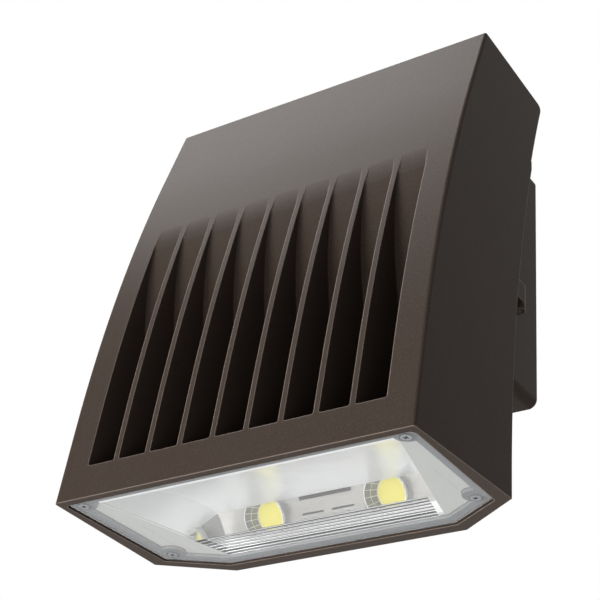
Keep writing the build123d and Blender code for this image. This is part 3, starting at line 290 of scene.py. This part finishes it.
@dataclass(frozen=True)
class PowderCoat(Finish):
    """Dark bronze polyester powder coat with fine metal flake, baked over die-cast aluminium.

    Attributes:
        flake: sRGB colour of the flakes.
        flake_mm: size of a flake.
        flake_from: noise value at which a flake begins to show.
        flake_full: noise value at which it shows most.
        flake_share: how far it takes its own colour there.
        painted_edge_highlight: sRGB colour of a painted highlight along sharp edges, standing in
            for the glint on their rounding.
        painted_edge_highlight_share: how far it takes that colour there.
        highlight_from: cosine between flat and rounded normal at which the painted highlight
            begins.
        highlight_full: cosine at which it is strongest.
    """

    flake: str = "#6b5d54"
    flake_mm: float = 0.7
    flake_from: float = 0.5
    flake_full: float = 0.85
    flake_share: float = 0.55
    painted_edge_highlight: str = "#ab9b91"
    painted_edge_highlight_share: float = 0.75
    highlight_from: float = 0.975
    highlight_full: float = 0.88

    def build(self) -> bpy.types.Material:
        """Make the coat, strew flakes over its colour and paint a pale highlight along sharp edges.

        Returns:
            The material.
        """
        material = Finish.build(self)
        tree = material.node_tree
        shader = next(n for n in tree.nodes if n.type == "BSDF_PRINCIPLED")
        place = next(n for n in tree.nodes if n.type == "TEX_COORD").outputs["Object"]
        # real flakes are about 0.05 mm; they are drawn coarse enough to show at this distance
        cells = add_node(tree, "ShaderNodeTexNoise", inputs={
            "Vector": place, "Scale": 1 / (self.flake_mm * MM), "Detail": 2.0,
            "Roughness": 0.7})
        bright = add_node(tree, "ShaderNodeMapRange", inputs={
            "Value": cells.outputs["Fac"], "From Min": self.flake_from,
            "From Max": self.flake_full, "To Min": 0.0, "To Max": self.flake_share})
        base = shader.inputs["Base Color"]
        below = base.links[0].from_socket if base.links else srgb(self.colour)
        mixed = add_node(tree, "ShaderNodeMix", {"data_type": "RGBA"}, {
            MIX_SHARE: bright.outputs[0], MIX_FIRST: below, MIX_SECOND: srgb(self.flake)})
        edge = next(n for n in tree.nodes if n.type == "BEVEL")
        # painted highlight: where the shader's rounded normal turns away from the flat one, a pale
        # colour is mixed into the coat, standing in for the glint along the edge
        flat = add_node(tree, "ShaderNodeNewGeometry").outputs["True Normal"]
        bent = add_node(tree, "ShaderNodeVectorMath", {"operation": "DOT_PRODUCT"}, {
            0: edge.outputs[0], 1: flat})
        highlight_mask = add_node(tree, "ShaderNodeMapRange", inputs={
            "Value": bent.outputs["Value"], "From Min": self.highlight_from,
            "From Max": self.highlight_full, "To Min": 0.0, "To Max": self.painted_edge_highlight_share})
        edge_highlighted = add_node(tree, "ShaderNodeMix", {"data_type": "RGBA"}, {
            MIX_SHARE: highlight_mask.outputs[0],
            MIX_FIRST: mixed.outputs[MIX_RESULT],
            MIX_SECOND: srgb(self.painted_edge_highlight)})
        tree.links.new(edge_highlighted.outputs[MIX_RESULT], base)
        return material


@dataclass(frozen=True)
class ClearPlate:
    """Clear glass plate: its surface is polished, and light passes without a shadow.

    Attributes:
        name: the material's common name.
        colour: sRGB tint.
        roughness: microfacet roughness.
        ior: index of refraction.
    """

    name: str = "clear_tempered_glass"
    colour: str = "#fdfefe"
    roughness: float = 0.01
    ior: float = 1.49

    def build(self) -> bpy.types.Material:
        """Make the clear material.

        Returns:
            The material.
        """
        material = blank_material(self.name)
        tree = material.node_tree
        glass = add_node(tree, "ShaderNodeBsdfPrincipled", inputs={
            "Base Color": srgb(self.colour), "Roughness": self.roughness,
            "IOR": self.ior, "Transmission Weight": 1.0})
        clear = add_node(
            tree, "ShaderNodeBsdfTransparent", inputs={"Color": srgb(self.colour)})
        path = add_node(tree, "ShaderNodeLightPath")
        unseen = add_node(tree, "ShaderNodeMath", {"operation": "MAXIMUM"}, {
            0: path.outputs["Is Shadow Ray"], 1: path.outputs["Is Diffuse Ray"]})
        both = add_node(tree, "ShaderNodeMixShader", inputs={
            0: unseen.outputs[0], 1: glass.outputs[0], 2: clear.outputs[0]})
        add_node(tree, "ShaderNodeOutputMaterial", inputs={0: both.outputs[0]})
        return material


@dataclass(frozen=True)
class TwoFaceSheet:
    """Bright aluminium sheet whose faces towards one direction are satin.

    Attributes:
        name: the material's common name.
        bright: sRGB colour of the bright faces.
        bright_roughness: microfacet roughness of those.
        satin: sRGB colour of the satin faces.
        satin_roughness: microfacet roughness of those.
        satin_metallic: metallic value of those.
        towards: unit direction that the satin faces look in.
        bright_metallic: metallic value of the bright faces.
        within: least cosine between a satin face and that direction, either way round.
        brush_mm: pitch of the brushed lines on the satin faces, which run across.
        brush_depth_mm: depth of those lines.
        brush_stretch: scale of their noise along them, which draws it out into lines.
    """

    name: str
    bright: str
    bright_roughness: float
    satin: str
    satin_roughness: float
    satin_metallic: float
    towards: tuple[float, float, float]
    bright_metallic: float = 1.0
    within: float = 0.9
    brush_mm: float = 0.5
    brush_depth_mm: float = 0.006
    brush_stretch: float = 0.02

    def build(self) -> bpy.types.Material:
        """Make the material, its two faces told apart by the surface's own direction.

        Returns:
            The material.
        """
        material = blank_material(self.name)
        tree = material.node_tree
        normal = add_node(tree, "ShaderNodeNewGeometry").outputs["True Normal"]
        aligned = add_node(tree, "ShaderNodeVectorMath", {"operation": "DOT_PRODUCT"}, {
            0: normal, 1: self.towards})
        either = add_node(tree, "ShaderNodeMath", {"operation": "ABSOLUTE"}, {
            0: aligned.outputs["Value"]})
        face = add_node(tree, "ShaderNodeMath", {"operation": "GREATER_THAN"}, {
            0: either.outputs[0], 1: self.within})
        colour = add_node(tree, "ShaderNodeMix", {"data_type": "RGBA"}, {
            MIX_SHARE: face.outputs[0],
            MIX_FIRST: srgb(self.bright),
            MIX_SECOND: srgb(self.satin)})
        rough = add_node(tree, "ShaderNodeMapRange", inputs={
            "Value": face.outputs[0], "To Min": self.bright_roughness,
            "To Max": self.satin_roughness})
        metal = add_node(tree, "ShaderNodeMapRange", inputs={
            "Value": face.outputs[0], "To Min": self.bright_metallic,
            "To Max": self.satin_metallic})
        place = add_node(tree, "ShaderNodeTexCoord").outputs["Object"]
        along = add_node(tree, "ShaderNodeMapping", inputs={
            "Vector": place, "Scale": (self.brush_stretch, 1.0, 1.0)})
        lines = add_node(tree, "ShaderNodeTexNoise", inputs={
            "Vector": along.outputs[0], "Scale": 1 / (self.brush_mm * MM), "Detail": 2.0})
        brushed = add_node(tree, "ShaderNodeBump", inputs={
            "Strength": face.outputs[0], "Distance": self.brush_depth_mm * MM,
            "Height": lines.outputs["Fac"]})
        shader = add_node(tree, "ShaderNodeBsdfPrincipled", inputs={
            "Base Color": colour.outputs[MIX_RESULT], "Roughness": rough.outputs[0],
            "Metallic": metal.outputs[0], "Normal": brushed.outputs[0]})
        add_node(tree, "ShaderNodeOutputMaterial", inputs={0: shader.outputs[0]})
        return material


# polyester powder coat: an even dark skin with fine metal flake, and a pale painted highlight along
# its sharp edges
POWDER_COAT = PowderCoat(
    "bronze_polyester_powder_coat", "#433a35", 0.36, specular=0.025, grain=Grain.ORANGE_PEEL,
    grain_mm=1.1, relief_mm=0.010, shade="#40362f", patch_mm=60.0, edge_mm=1.1)
# tempered glass: clear and polished, and its ribs break up what stands behind them
CLEAR_LENS = ClearPlate()
# silicone rubber: soft, dry and light grey
SILICONE_GREY = Finish(
    "grey_silicone_rubber", "#84868a", 0.62, ior=1.41, grain=Grain.SPARK, grain_mm=0.8,
    relief_mm=0.02)
# EPDM: dull black rubber with fine pores
RUBBER_BLACK = Finish(
    "black_epdm_rubber", "#1d1c1b", 0.78, grain=Grain.SPARK, grain_mm=0.7, relief_mm=0.03,
    shade="#252423", patch_mm=9.0)
# stainless steel: turned and polished, with faint lines across
STAINLESS = Finish(
    "stainless_steel", "#c3c2bf", 0.28, metallic=1.0, grain=Grain.ROLLED, grain_mm=0.4,
    relief_mm=0.004, shade="#b2b0ac", patch_mm=5.0)
# zinc-plated steel: slightly milky metal with small cloudy patches
ZINC_STEEL = Finish(
    "zinc_plated_steel", "#a9abad", 0.36, metallic=1.0, shade="#8f9294", patch_mm=2.5, edge_mm=0.15)
# anodised reflector sheet: its roof blurs what it shows, and the band round the LEDs is brushed
MIRROR_SHEET = TwoFaceSheet(
    "semi_specular_anodised_aluminium", "#fafafa", 0.32, "#a9a6a2", 0.38, 1.0,
    towards=(0.0, math.cos(math.radians(LED_TILT_DEG)), math.sin(math.radians(LED_TILT_DEG))),
    bright_metallic=0.55, within=0.97)
# bright-rolled aluminium: end walls that mirror clearly, and a satin flange that faces down
END_MIRROR = TwoFaceSheet(
    "bright_rolled_aluminium_with_satin_flange", "#f2f3f3", 0.05, "#b6b6b2", 0.5, 0.0,
    towards=(0.0, 0.0, 1.0), within=0.8)
# pressed aluminium: the cups' facets, which mirror the dark housing and also have a darker grey
# painted in as a painted reflection of it
CUP_FACET = Finish("pressed_aluminium_facet", "#7b7c7f", 0.3, metallic=0.6)
# aluminium creases between the facets and at the cup's lip, painted pale as a painted highlight
CUP_CREASE = Finish("aluminium_crease_painted_highlight", "#f6f6f5", 0.45, metallic=0.3)
# alumina: matt white fired ceramic
ALUMINA = Finish(
    "white_alumina_ceramic", "#e9e8e3", 0.55, ior=1.77, shade="#dfded8", patch_mm=3.0)
# silicone cast with phosphor: an even satin yellow
PHOSPHOR = Finish(
    "yellow_phosphor_silicone", "#f4e85e", 0.38, ior=1.41, shade="#efe04e", patch_mm=4.0)
# silicone: the white dam round the phosphor, glossy from curing
SILICONE_WHITE = Finish("white_silicone_dam", "#f1f1ec", 0.3, ior=1.41)
# PBT: white moulded plastic with a fine spark-eroded surface
PBT_WHITE = Finish(
    "white_pbt", "#ecebe6", 0.45, grain=Grain.SPARK, grain_mm=0.35, relief_mm=0.01,
    edge_mm=0.25)
# polyamide: cream moulded plastic, satin from its spark-eroded mould
NYLON_CREAM = Finish(
    "cream_polyamide", "#e4e0d3", 0.5, grain=Grain.SPARK, grain_mm=0.4, relief_mm=0.01,
    edge_mm=0.3)
# polyamide: black moulded case, its mould a little coarser
NYLON_BLACK = Finish(
    "black_polyamide", "#1a1a1b", 0.48, grain=Grain.SPARK, grain_mm=0.5, relief_mm=0.015,
    edge_mm=0.4)
# painted aluminium: light grey case with the slight orange peel of its paint
DRIVER_CASE = Finish(
    "painted_aluminium_case", "#c9cac8", 0.4, metallic=0.1, grain=Grain.ORANGE_PEEL, grain_mm=1.4,
    relief_mm=0.012, shade="#c0c1bf", patch_mm=30.0, edge_mm=0.6)
# turned brass: warm yellow metal, a little darker in patches
BRASS = Finish(
    "turned_brass", "#c9a35a", 0.3, metallic=1.0, shade="#b8924c", patch_mm=1.5, edge_mm=0.15)
# passivated brass: the green metal of an earth screw
BRASS_GREEN = Finish(
    "green_passivated_brass", "#3f7d4c", 0.38, metallic=0.7, shade="#2f6a3d", patch_mm=2.0,
    edge_mm=0.2)

Surface = Finish | ClearPlate | TwoFaceSheet


class Workshop:
    """Builds each finish once and dresses pieces with it."""

    def __init__(self) -> None:
        """Start with no material made."""
        self.made: dict[str, bpy.types.Material] = {}

    def material(self, finish: Surface) -> bpy.types.Material:
        """Give the material of a finish, making it the first time.

        Args:
            finish: the finish.

        Returns:
            The material.
        """
        if finish.name not in self.made:
            self.made[finish.name] = finish.build()
        return self.made[finish.name]

    def dress(self, piece: bpy.types.Object, finish: Surface) -> None:
        """Put one finish on every slot of a piece.

        Args:
            piece: the piece.
            finish: the finish.
        """
        material = self.material(finish)
        if not piece.material_slots:
            piece.data.materials.append(material)
        for slot in piece.material_slots:
            slot.material = material

    def dress_slots(self, piece: bpy.types.Object, finishes: Iterable[Surface]) -> None:
        """Give a new piece one material slot for each finish, in order."""
        for finish in finishes:
            piece.data.materials.append(self.material(finish))

    def dress_nodes(self, nodes: Iterable[str], finish: Surface) -> None:
        """Put one finish on several CAD nodes.

        Args:
            nodes: the nodes' names.
            finish: the finish.
        """
        for name in nodes:
            self.dress(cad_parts[name], finish)
            log.info("%s: %s", name, finish.name)


# ---------------------------------------------------------------- mesh helpers
def turned(outline: list[tuple[float, float]], steps: int = 48) -> bmesh.types.BMesh:
    """Turn an outline about Z into a closed round form.

    Args:
        outline: radius and height of each corner in millimetres; it starts and ends on the axis,
            or closes on itself for a ring.
        steps: number of sides.

    Returns:
        The form, in metres.
    """
    form = bmesh.new()
    corners = [form.verts.new((radius * MM, 0, height * MM)) for radius, height in outline]
    edges = [form.edges.new(pair) for pair in zip(corners, corners[1:])]
    if outline[0][0] > 0:
        edges.append(form.edges.new((corners[-1], corners[0])))
    bmesh.ops.spin(
        form, geom=corners + edges, cent=(0, 0, 0), axis=(0, 0, 1), angle=2 * math.pi,
        steps=steps, use_merge=True)
    bmesh.ops.remove_doubles(form, verts=form.verts, dist=MERGE_DISTANCE)
    bmesh.ops.recalc_face_normals(form, faces=form.faces)
    return form


def rounded_block(
    size: tuple[float, float, float], radius: float, segments: int = 3
) -> bmesh.types.BMesh:
    """Make a block round the origin with all its edges rounded.

    Args:
        size: its three sizes in millimetres.
        radius: the rounding in millimetres.
        segments: number of faces round each edge.

    Returns:
        The form, in metres.
    """
    form = bmesh.new()
    bmesh.ops.create_cube(form, size=1.0)
    bmesh.ops.scale(form, verts=form.verts, vec=Vector(size) * MM)
    bmesh.ops.bevel(
        form, geom=form.edges, offset=radius * MM, segments=segments, profile=0.5,
        affect="EDGES", material=-1)
    return form


def finished(
    name: str, form: bmesh.types.BMesh, place: Matrix, body: str, smooth: bool = True
) -> bpy.types.Object:
    """Turn a form into a piece whose place is in its mesh, riding on a body, and report it.

    Args:
        name: the piece's name.
        form: the form, made round the origin; it is freed.
        place: where it goes.
        body: the body that it moves with.
        smooth: whether its faces are shaded smooth.

    Returns:
        The piece.
    """
    form.transform(place)
    mesh = bpy.data.meshes.new(name)
    form.to_mesh(mesh)
    form.free()
    for face in mesh.polygons:
        face.use_smooth = smooth
    piece = bpy.data.objects.new(name, mesh)
    bpy.context.scene.collection.objects.link(piece)
    if smooth:
        mesh.set_sharp_from_angle(angle=math.radians(SMOOTH_BELOW_DEG))
    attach(piece, body)
    log.info("%s: new piece on %s", name, body)
    return piece


# ---------------------------------------------------------------- sub-assemblies
@dataclass
class DieCastBody:
    """The two coated castings: finned front housing and back box."""

    def build(self, shop: Workshop) -> None:
        """Dress the castings and the plugs in their bottom."""
        shop.dress_nodes(("door_housing", "back_box"), POWDER_COAT)
        shop.dress_nodes(("conduit_plug_left", "conduit_plug_right"), POWDER_COAT)


@dataclass
class Seals:
    """Gaskets and grommets."""

    def build(self, shop: Workshop) -> None:
        """Dress the seals."""
        shop.dress_nodes(("wall_gasket", "door_gasket", "wire_grommets"), RUBBER_BLACK)
        shop.dress_nodes(("lens_gasket",), SILICONE_GREY)


@dataclass
class LensWindow:
    """The clear lens and its screws."""

    def build(self, shop: Workshop) -> None:
        """Dress the lens and its screws."""
        shop.dress_nodes(("lens",), CLEAR_LENS)
        shop.dress_nodes(("lens_screws",), ZINC_STEEL)


@dataclass
class LightEngine:
    """Reflectors, LEDs, boards and holders.

    Attributes:
        plane: where the emitting faces are.
        emitter_radius: outer radius of the dam round the phosphor, in millimetres as all below.
        sunk: how far the cured phosphor sinks at its middle.
        sunk_line: shares of its radius and of that sinking, from the middle to the edge.
        skirt: how far phosphor and dam reach down past the emitting face.
        dam_width: width of the white dam round the phosphor.
        dam_foot: how far below the emitting face the dam's flanks begin.
        dam_shoulder: height of its shoulders.
        dam_height: height of its top.
        dam_round: how far the shoulders lie inside its flanks.
        cup_base: inner radius of a cup beside the LED.
        cup_mouth: inner radius of a cup at its open end.
        cup_length: length of a cup along the light's way.
        cup_gap: gap between the emitting face and the cup.
        liner: thickness of the faceted liner on the cup's wall.
        liner_slack: gap between the liner and the cup's wall.
        liner_short: how much shorter than the cup the liner is at each end.
        cup_up: how far a cup reaches above the LED's middle.
        cup_down: how far it reaches below.
        facets: number of facets round a cup.
        tiers: number of facets along it.
        crease: width of the crease on each side of a facet.
        facet_sink: how deep a facet is pressed.
    """

    plane: LedPlane = LedPlane()
    emitter_radius: float = 10.0
    sunk: float = 0.12
    sunk_line: tuple[tuple[float, float], ...] = ((0.5, 0.8), (0.85, 0.35))
    skirt: float = 0.6
    dam_width: float = 0.5
    dam_foot: float = 0.05
    dam_shoulder: float = 0.09
    dam_height: float = 0.15
    dam_round: float = 0.1
    cup_base: float = 10.6
    cup_mouth: float = 14.4
    cup_length: float = 9.4
    cup_gap: float = 0.2
    liner: float = 0.35
    liner_slack: float = 0.02
    liner_short: float = 0.05
    cup_up: float = 8.6
    cup_down: float = 9.4
    facets: int = 18
    tiers: int = 2
    crease: float = 0.22
    facet_sink: float = 0.08

    def build(self, shop: Workshop) -> None:
        """Dress what stands over the lens, and make its fine pieces.

        Args:
            shop: where finishes are made.
        """
        shop.dress_nodes(("reflector",), MIRROR_SHEET)
        shop.dress_nodes(("reflector_end_left", "reflector_end_right"), END_MIRROR)
        shop.dress_nodes(("led_board_left", "led_board_right"), ALUMINA)
        shop.dress_nodes(("led_holder_left", "led_holder_right"), PBT_WHITE)
        shop.dress_nodes(("led_screws",), STAINLESS)
        for name, side in (("left", -1), ("right", 1)):
            self.emitter(shop, name, side)
            self.facet_liner(shop, name, side)

    def emitter(self, shop: Workshop, name: str, side: int) -> None:
        """Cast one LED's phosphor and the dam round it, in place of the plain disc.

        Args:
            shop: where finishes are made.
            name: left or right.
            side: -1 or 1.
        """
        low = -self.skirt
        edge = self.emitter_radius - self.dam_width
        hollow = [(edge * out, -self.sunk * down) for out, down in self.sunk_line]
        cast = turned([(0, -self.sunk), *hollow, (edge, 0), (edge, low), (0, low)])
        phosphor = finished(f"phosphor_{name}", cast, self.plane.matrix(side), "door")
        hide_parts(f"led_phosphor_{name}")
        shop.dress(phosphor, PHOSPHOR)
        ring = turned([
            (edge, low),
            (edge, -self.dam_foot),
            (edge + self.dam_round, self.dam_shoulder),
            (edge + self.dam_width / 2, self.dam_height),
            (self.emitter_radius - self.dam_round, self.dam_shoulder),
            (self.emitter_radius, -self.dam_foot),
            (self.emitter_radius, low)])
        dam = finished(f"phosphor_dam_{name}", ring, self.plane.matrix(side), "door")
        shop.dress(dam, SILICONE_WHITE)

    def facet_liner(self, shop: Workshop, name: str, side: int) -> None:
        """Press flat facets into one cup's wall, with a crease round each, and paint the creases
        and the lip pale as a painted highlight.

        Args:
            shop: where finishes are made.
            name: left or right.
            side: -1 or 1.
        """
        outer = []
        for tier in range(self.tiers + 1):
            run = tier / self.tiers
            outer.append((
                self.cup_base + (self.cup_mouth - self.cup_base) * run - self.liner_slack,
                self.cup_gap + self.liner_short
                + (self.cup_length - 2 * self.liner_short) * run))
        inner = [(radius - self.liner, height) for radius, height in outer]
        form = turned(inner + outer[::-1], self.facets)
        for height, sign in ((self.cup_up, 1), (-self.cup_down, -1)):
            cut = bmesh.ops.bisect_plane(
                form, geom=form.verts[:] + form.edges[:] + form.faces[:],
                plane_co=(0, height * MM, 0), plane_no=(0, sign, 0), clear_outer=True)
            rims = [e for e in cut["geom_cut"] if isinstance(e, bmesh.types.BMEdge)]
            bmesh.ops.holes_fill(form, edges=rims)
        bmesh.ops.recalc_face_normals(form, faces=form.faces)
        walls = [f for f in form.faces if self.looks_in(f)]
        lips = [f for f in form.faces if f.normal.z > LEVEL_COSINE]
        creases = bmesh.ops.inset_individual(
            form, faces=walls, thickness=self.crease * MM, depth=-self.facet_sink * MM)
        # the creases and the lip take the pale painted highlight
        for face in creases["faces"] + lips:
            face.material_index = 1
        liner = finished(f"cup_facets_{name}", form, self.plane.matrix(side), "door", smooth=False)
        shop.dress_slots(liner, (CUP_FACET, CUP_CREASE))

    @staticmethod
    def looks_in(face: bmesh.types.BMFace) -> bool:
        """Tell whether a face of a round form looks towards its axis.

        Args:
            face: the face.

        Returns:
            True where it does.
        """
        middle = face.calc_center_median()
        inward = Vector((-middle.x, -middle.y, 0)).normalized()
        return face.normal.dot(inward) > INWARD_COSINE


@dataclass
class Fittings:
    """Screws, pins, terminal block, driver and surge protector.

    Attributes:
        terminal_pitch: distance between the terminal screws, in millimetres as all below.
        clamp_radius: radius of a clamp screw in its well.
        clamp_flat: share of that radius that its face takes inside its chamfer.
        clamp_chamfer: height of the chamfer.
        clamp_depth: depth of the screw.
        clamp_behind: how far it stands behind the block's front.
        recess_reach: how far from its middle the screwdriver's recess reaches.
        recess_border: border round that recess.
        recess_depth: depth of that recess.
        ear_width: width of the fixing ear at each end of driver and surge protector.
        lid_inset: border between their case and its raised lid.
        lid_height: height of that lid.
        lid_rounding: rounding of its edges as a share of its height.
        lid_border: border round its sunk middle.
        lid_sink: how deep that middle is pressed.
    """

    terminal_pitch: float = 15.0
    clamp_radius: float = 2.3
    clamp_flat: float = 0.8
    clamp_chamfer: float = 0.3
    clamp_depth: float = 1.6
    clamp_behind: float = 4.0
    recess_reach: float = 1.0
    recess_border: float = 0.2
    recess_depth: float = 0.4
    ear_width: float = 10.0
    lid_inset: float = 5.0
    lid_height: float = 0.9
    lid_rounding: float = 0.9
    lid_border: float = 2.0
    lid_sink: float = 0.35

    def build(self, shop: Workshop) -> None:
        """Dress the fittings and add their small pieces.

        Args:
            shop: where finishes are made.
        """
        shop.dress_nodes(
            ("door_screw", "screw_retainer", "hinge_pin_lower", "hinge_pin_upper",
             "compartment_screws"),
            STAINLESS)
        shop.dress_nodes(("ground_screw",), BRASS_GREEN)
        shop.dress_nodes(("terminal_block",), NYLON_CREAM)
        shop.dress_nodes(("driver",), DRIVER_CASE)
        shop.dress_nodes(("surge_protector",), NYLON_BLACK)
        self.lid(shop, "driver", "driver_lid", DRIVER_CASE)
        self.lid(shop, "surge_protector", "surge_protector_lid", NYLON_BLACK)
        self.clamp_screws(shop)

    def lid(self, shop: Workshop, node: str, name: str, finish: Finish) -> None:
        """Lay a pressed lid with a sunk middle on the rear face of a component.

        Args:
            shop: where finishes are made.
            node: the component's CAD node.
            name: the lid's name.
            finish: the lid's finish.
        """
        low, high = (Vector(corner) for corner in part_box(node))
        width = (high.x - low.x - 2 * self.ear_width * MM) / MM - 2 * self.lid_inset
        tall = (high.z - low.z) / MM - 2 * self.lid_inset
        form = rounded_block(
            (width, 2 * self.lid_height, tall), self.lid_height * self.lid_rounding)
        rear = max(form.faces, key=lambda face: face.calc_area() * face.normal.y)
        bmesh.ops.inset_individual(
            form, faces=[rear], thickness=self.lid_border * MM, depth=-self.lid_sink * MM)
        place = Matrix.Translation(((low.x + high.x) / 2, high.y, (low.z + high.z) / 2))
        piece = finished(name, form, place, "door")
        shop.dress(piece, finish)

    def clamp_screws(self, shop: Workshop) -> None:
        """Set a brass clamp screw in each well of the terminal block.

        Args:
            shop: where finishes are made.
        """
        low, high = (Vector(corner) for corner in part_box("terminal_block"))
        level = low.z + (high.z - low.z) * 2 / 3
        for index, name in enumerate(("line", "neutral", "earth")):
            head = turned([
                (0, 0),
                (self.clamp_radius * self.clamp_flat, 0),
                (self.clamp_radius, -self.clamp_chamfer),
                (self.clamp_radius, -self.clamp_depth),
                (0, -self.clamp_depth)], steps=24)
            recess = [
                face for face in head.faces if face.normal.z > LEVEL_COSINE
                and face.calc_center_median().length < self.recess_reach * MM]
            bmesh.ops.inset_region(
                head, faces=recess, thickness=self.recess_border * MM,
                depth=-self.recess_depth * MM)
            x = (index - 1) * self.terminal_pitch * MM
            middle = Matrix.Translation((x, low.y + self.clamp_behind * MM, level))
            place = middle @ Matrix.Rotation(math.pi / 2, 4, "X")
            piece = finished(f"clamp_screw_{name}", head, place, "wall_side")
            shop.dress(piece, BRASS)


# ---------------------------------------------------------------- studio
@dataclass(frozen=True)
class SoftLamp:
    """One square soft lamp that looks at the object.

    Attributes:
        name: the lamp's name.
        place: where it hangs, in metres.
        size: its edge length, in metres.
        power: its power in watts.
        mirrored: whether mirrors show it.
    """

    name: str
    place: tuple[float, float, float]
    size: float
    power: float
    mirrored: bool = True

    def hang(self) -> None:
        """Hang the lamp and turn it towards the object."""
        data = bpy.data.lights.new(self.name, "AREA")
        data.shape = "SQUARE"
        data.size = self.size
        data.energy = self.power
        lamp = bpy.data.objects.new(self.name, data)
        bpy.context.scene.collection.objects.link(lamp)
        lamp.visible_glossy = self.mirrored
        look = Vector(LAMP_TARGET) - Vector(self.place)
        turn = look.to_track_quat("-Z", "Y").to_matrix().to_4x4()
        lamp.matrix_world = Matrix.Translation(Vector(self.place)) @ turn


@dataclass
class Studio:
    """Floor, lamps, world and camera.

    Attributes:
        lens_mm: focal length.
        sensor_mm: width of the camera's sensor.
        nearest: distance at which the camera begins to see.
        eye: the camera's place.
        right: the direction of the picture's rows.
        down: the direction of its columns.
        ahead: the direction that the camera looks in.
        floor_height: height of the floor.
        floor_reach: distance from the floor's middle to its sides.
        floor_colour: sRGB colour of the floor.
        floor_lift: light that the camera sees on top of the floor's own, which keeps it pale.
        ambient: strength of the world where it lights.
        lamps: the lamps.
    """

    lens_mm: float = 94.9
    sensor_mm: float = 36.0
    nearest: float = 0.05
    eye: tuple[float, float, float] = (0.50217, -0.80894, -0.55264)
    right: tuple[float, float, float] = (0.83424113, 0.54678742, 0.07117067)
    down: tuple[float, float, float] = (-0.22992126, 0.46226627, -0.85641468)
    ahead: tuple[float, float, float] = (-0.50117657, 0.6980927, 0.51135959)
    floor_height: float = -1.25
    floor_reach: float = 6.0
    floor_colour: str = "#f2f2f0"
    floor_lift: float = 0.45
    ambient: float = 0.22
    lamps: tuple[SoftLamp, ...] = (
        SoftLamp("overhead_softbox", (-0.64, -0.34, 1.33), 0.85, 20.0),
        SoftLamp("front_fill", (-0.8, -1.75, -0.3), 1.1, 17.0),
        SoftLamp("low_fill", (0.0, -0.78, -0.8), 0.5, 4.6, mirrored=False),
        SoftLamp("back_fill", (-0.5, 1.7, 0.3), 1.2, 17.0),
    )

    def build(self) -> None:
        """Set up everything that isn't the object."""
        self.camera()
        self.floor()
        self.world()
        for lamp in self.lamps:
            lamp.hang()
        bpy.context.scene.view_settings.view_transform = "Standard"

    def camera(self) -> None:
        """Place the camera where the photograph was taken from."""
        data = bpy.data.cameras.new("camera")
        data.lens = self.lens_mm
        data.sensor_width = self.sensor_mm
        data.clip_start = self.nearest
        camera = bpy.data.objects.new("camera", data)
        bpy.context.scene.collection.objects.link(camera)
        turn = Matrix((Vector(self.right), -Vector(self.down), -Vector(self.ahead))).transposed()
        camera.matrix_world = Matrix.Translation(Vector(self.eye)) @ turn.to_4x4()
        bpy.context.scene.camera = camera

    def floor(self) -> None:
        """Lay the plain pale floor."""
        mesh = bpy.data.meshes.new("floor")
        form = bmesh.new()
        bmesh.ops.create_grid(form, x_segments=1, y_segments=1, size=self.floor_reach)
        bmesh.ops.translate(form, verts=form.verts, vec=(0, 0, self.floor_height))
        form.to_mesh(mesh)
        form.free()
        floor = bpy.data.objects.new("floor", mesh)
        bpy.context.scene.collection.objects.link(floor)
        # matt pale paint, which mirrors and glass see as plain white
        material = blank_material("pale_floor")
        tree = material.node_tree
        matt = add_node(tree, "ShaderNodeBsdfDiffuse", inputs={"Color": srgb(self.floor_colour)})
        white = add_node(
            tree, "ShaderNodeEmission", inputs={"Color": (1, 1, 1, 1), "Strength": 1.0})
        path = add_node(tree, "ShaderNodeLightPath")
        mirrored = add_node(tree, "ShaderNodeMath", {"operation": "MAXIMUM"}, {
            0: path.outputs["Is Glossy Ray"], 1: path.outputs["Is Transmission Ray"]})
        lift = add_node(tree, "ShaderNodeMath", {"operation": "MULTIPLY"}, {
            0: path.outputs["Is Camera Ray"], 1: self.floor_lift})
        pale = add_node(tree, "ShaderNodeEmission", inputs={"Strength": lift.outputs[0]})
        shown = add_node(
            tree, "ShaderNodeAddShader", inputs={0: matt.outputs[0], 1: pale.outputs[0]})
        both = add_node(tree, "ShaderNodeMixShader", inputs={
            0: mirrored.outputs[0], 1: shown.outputs[0], 2: white.outputs[0]})
        add_node(tree, "ShaderNodeOutputMaterial", inputs={0: both.outputs[0]})
        mesh.materials.append(material)

    def world(self) -> None:
        """Make the world white where it is seen and soft where it lights."""
        world = bpy.data.worlds.new("studio")
        bpy.context.scene.world = world
        world.use_nodes = True
        tree = world.node_tree
        tree.nodes.clear()
        path = add_node(tree, "ShaderNodeLightPath")
        seen = add_node(tree, "ShaderNodeMath", {"operation": "MAXIMUM"}, {
            0: path.outputs["Is Camera Ray"], 1: path.outputs["Is Glossy Ray"]})
        seen = add_node(tree, "ShaderNodeMath", {"operation": "MAXIMUM"}, {
            0: seen.outputs[0], 1: path.outputs["Is Transmission Ray"]})
        strength = add_node(tree, "ShaderNodeMapRange", inputs={
            "Value": seen.outputs[0], "From Min": 0.0, "From Max": 1.0,
            "To Min": self.ambient, "To Max": 1.0})
        back = add_node(tree, "ShaderNodeBackground", inputs={
            "Color": (1, 1, 1, 1), "Strength": strength.outputs[0]})
        add_node(tree, "ShaderNodeOutputWorld", inputs={0: back.outputs[0]})


def main() -> None:
    """Build the studio and every sub-assembly."""
    logging.basicConfig(level=logging.INFO, format="%(message)s")
    Studio().build()
    shop = Workshop()
    for assembly in (DieCastBody(), Seals(), LensWindow(), LightEngine(), Fittings()):
        assembly.build(shop)
        log.info("built %s", type(assembly).__name__)


if __name__ == "__main__":
    main()
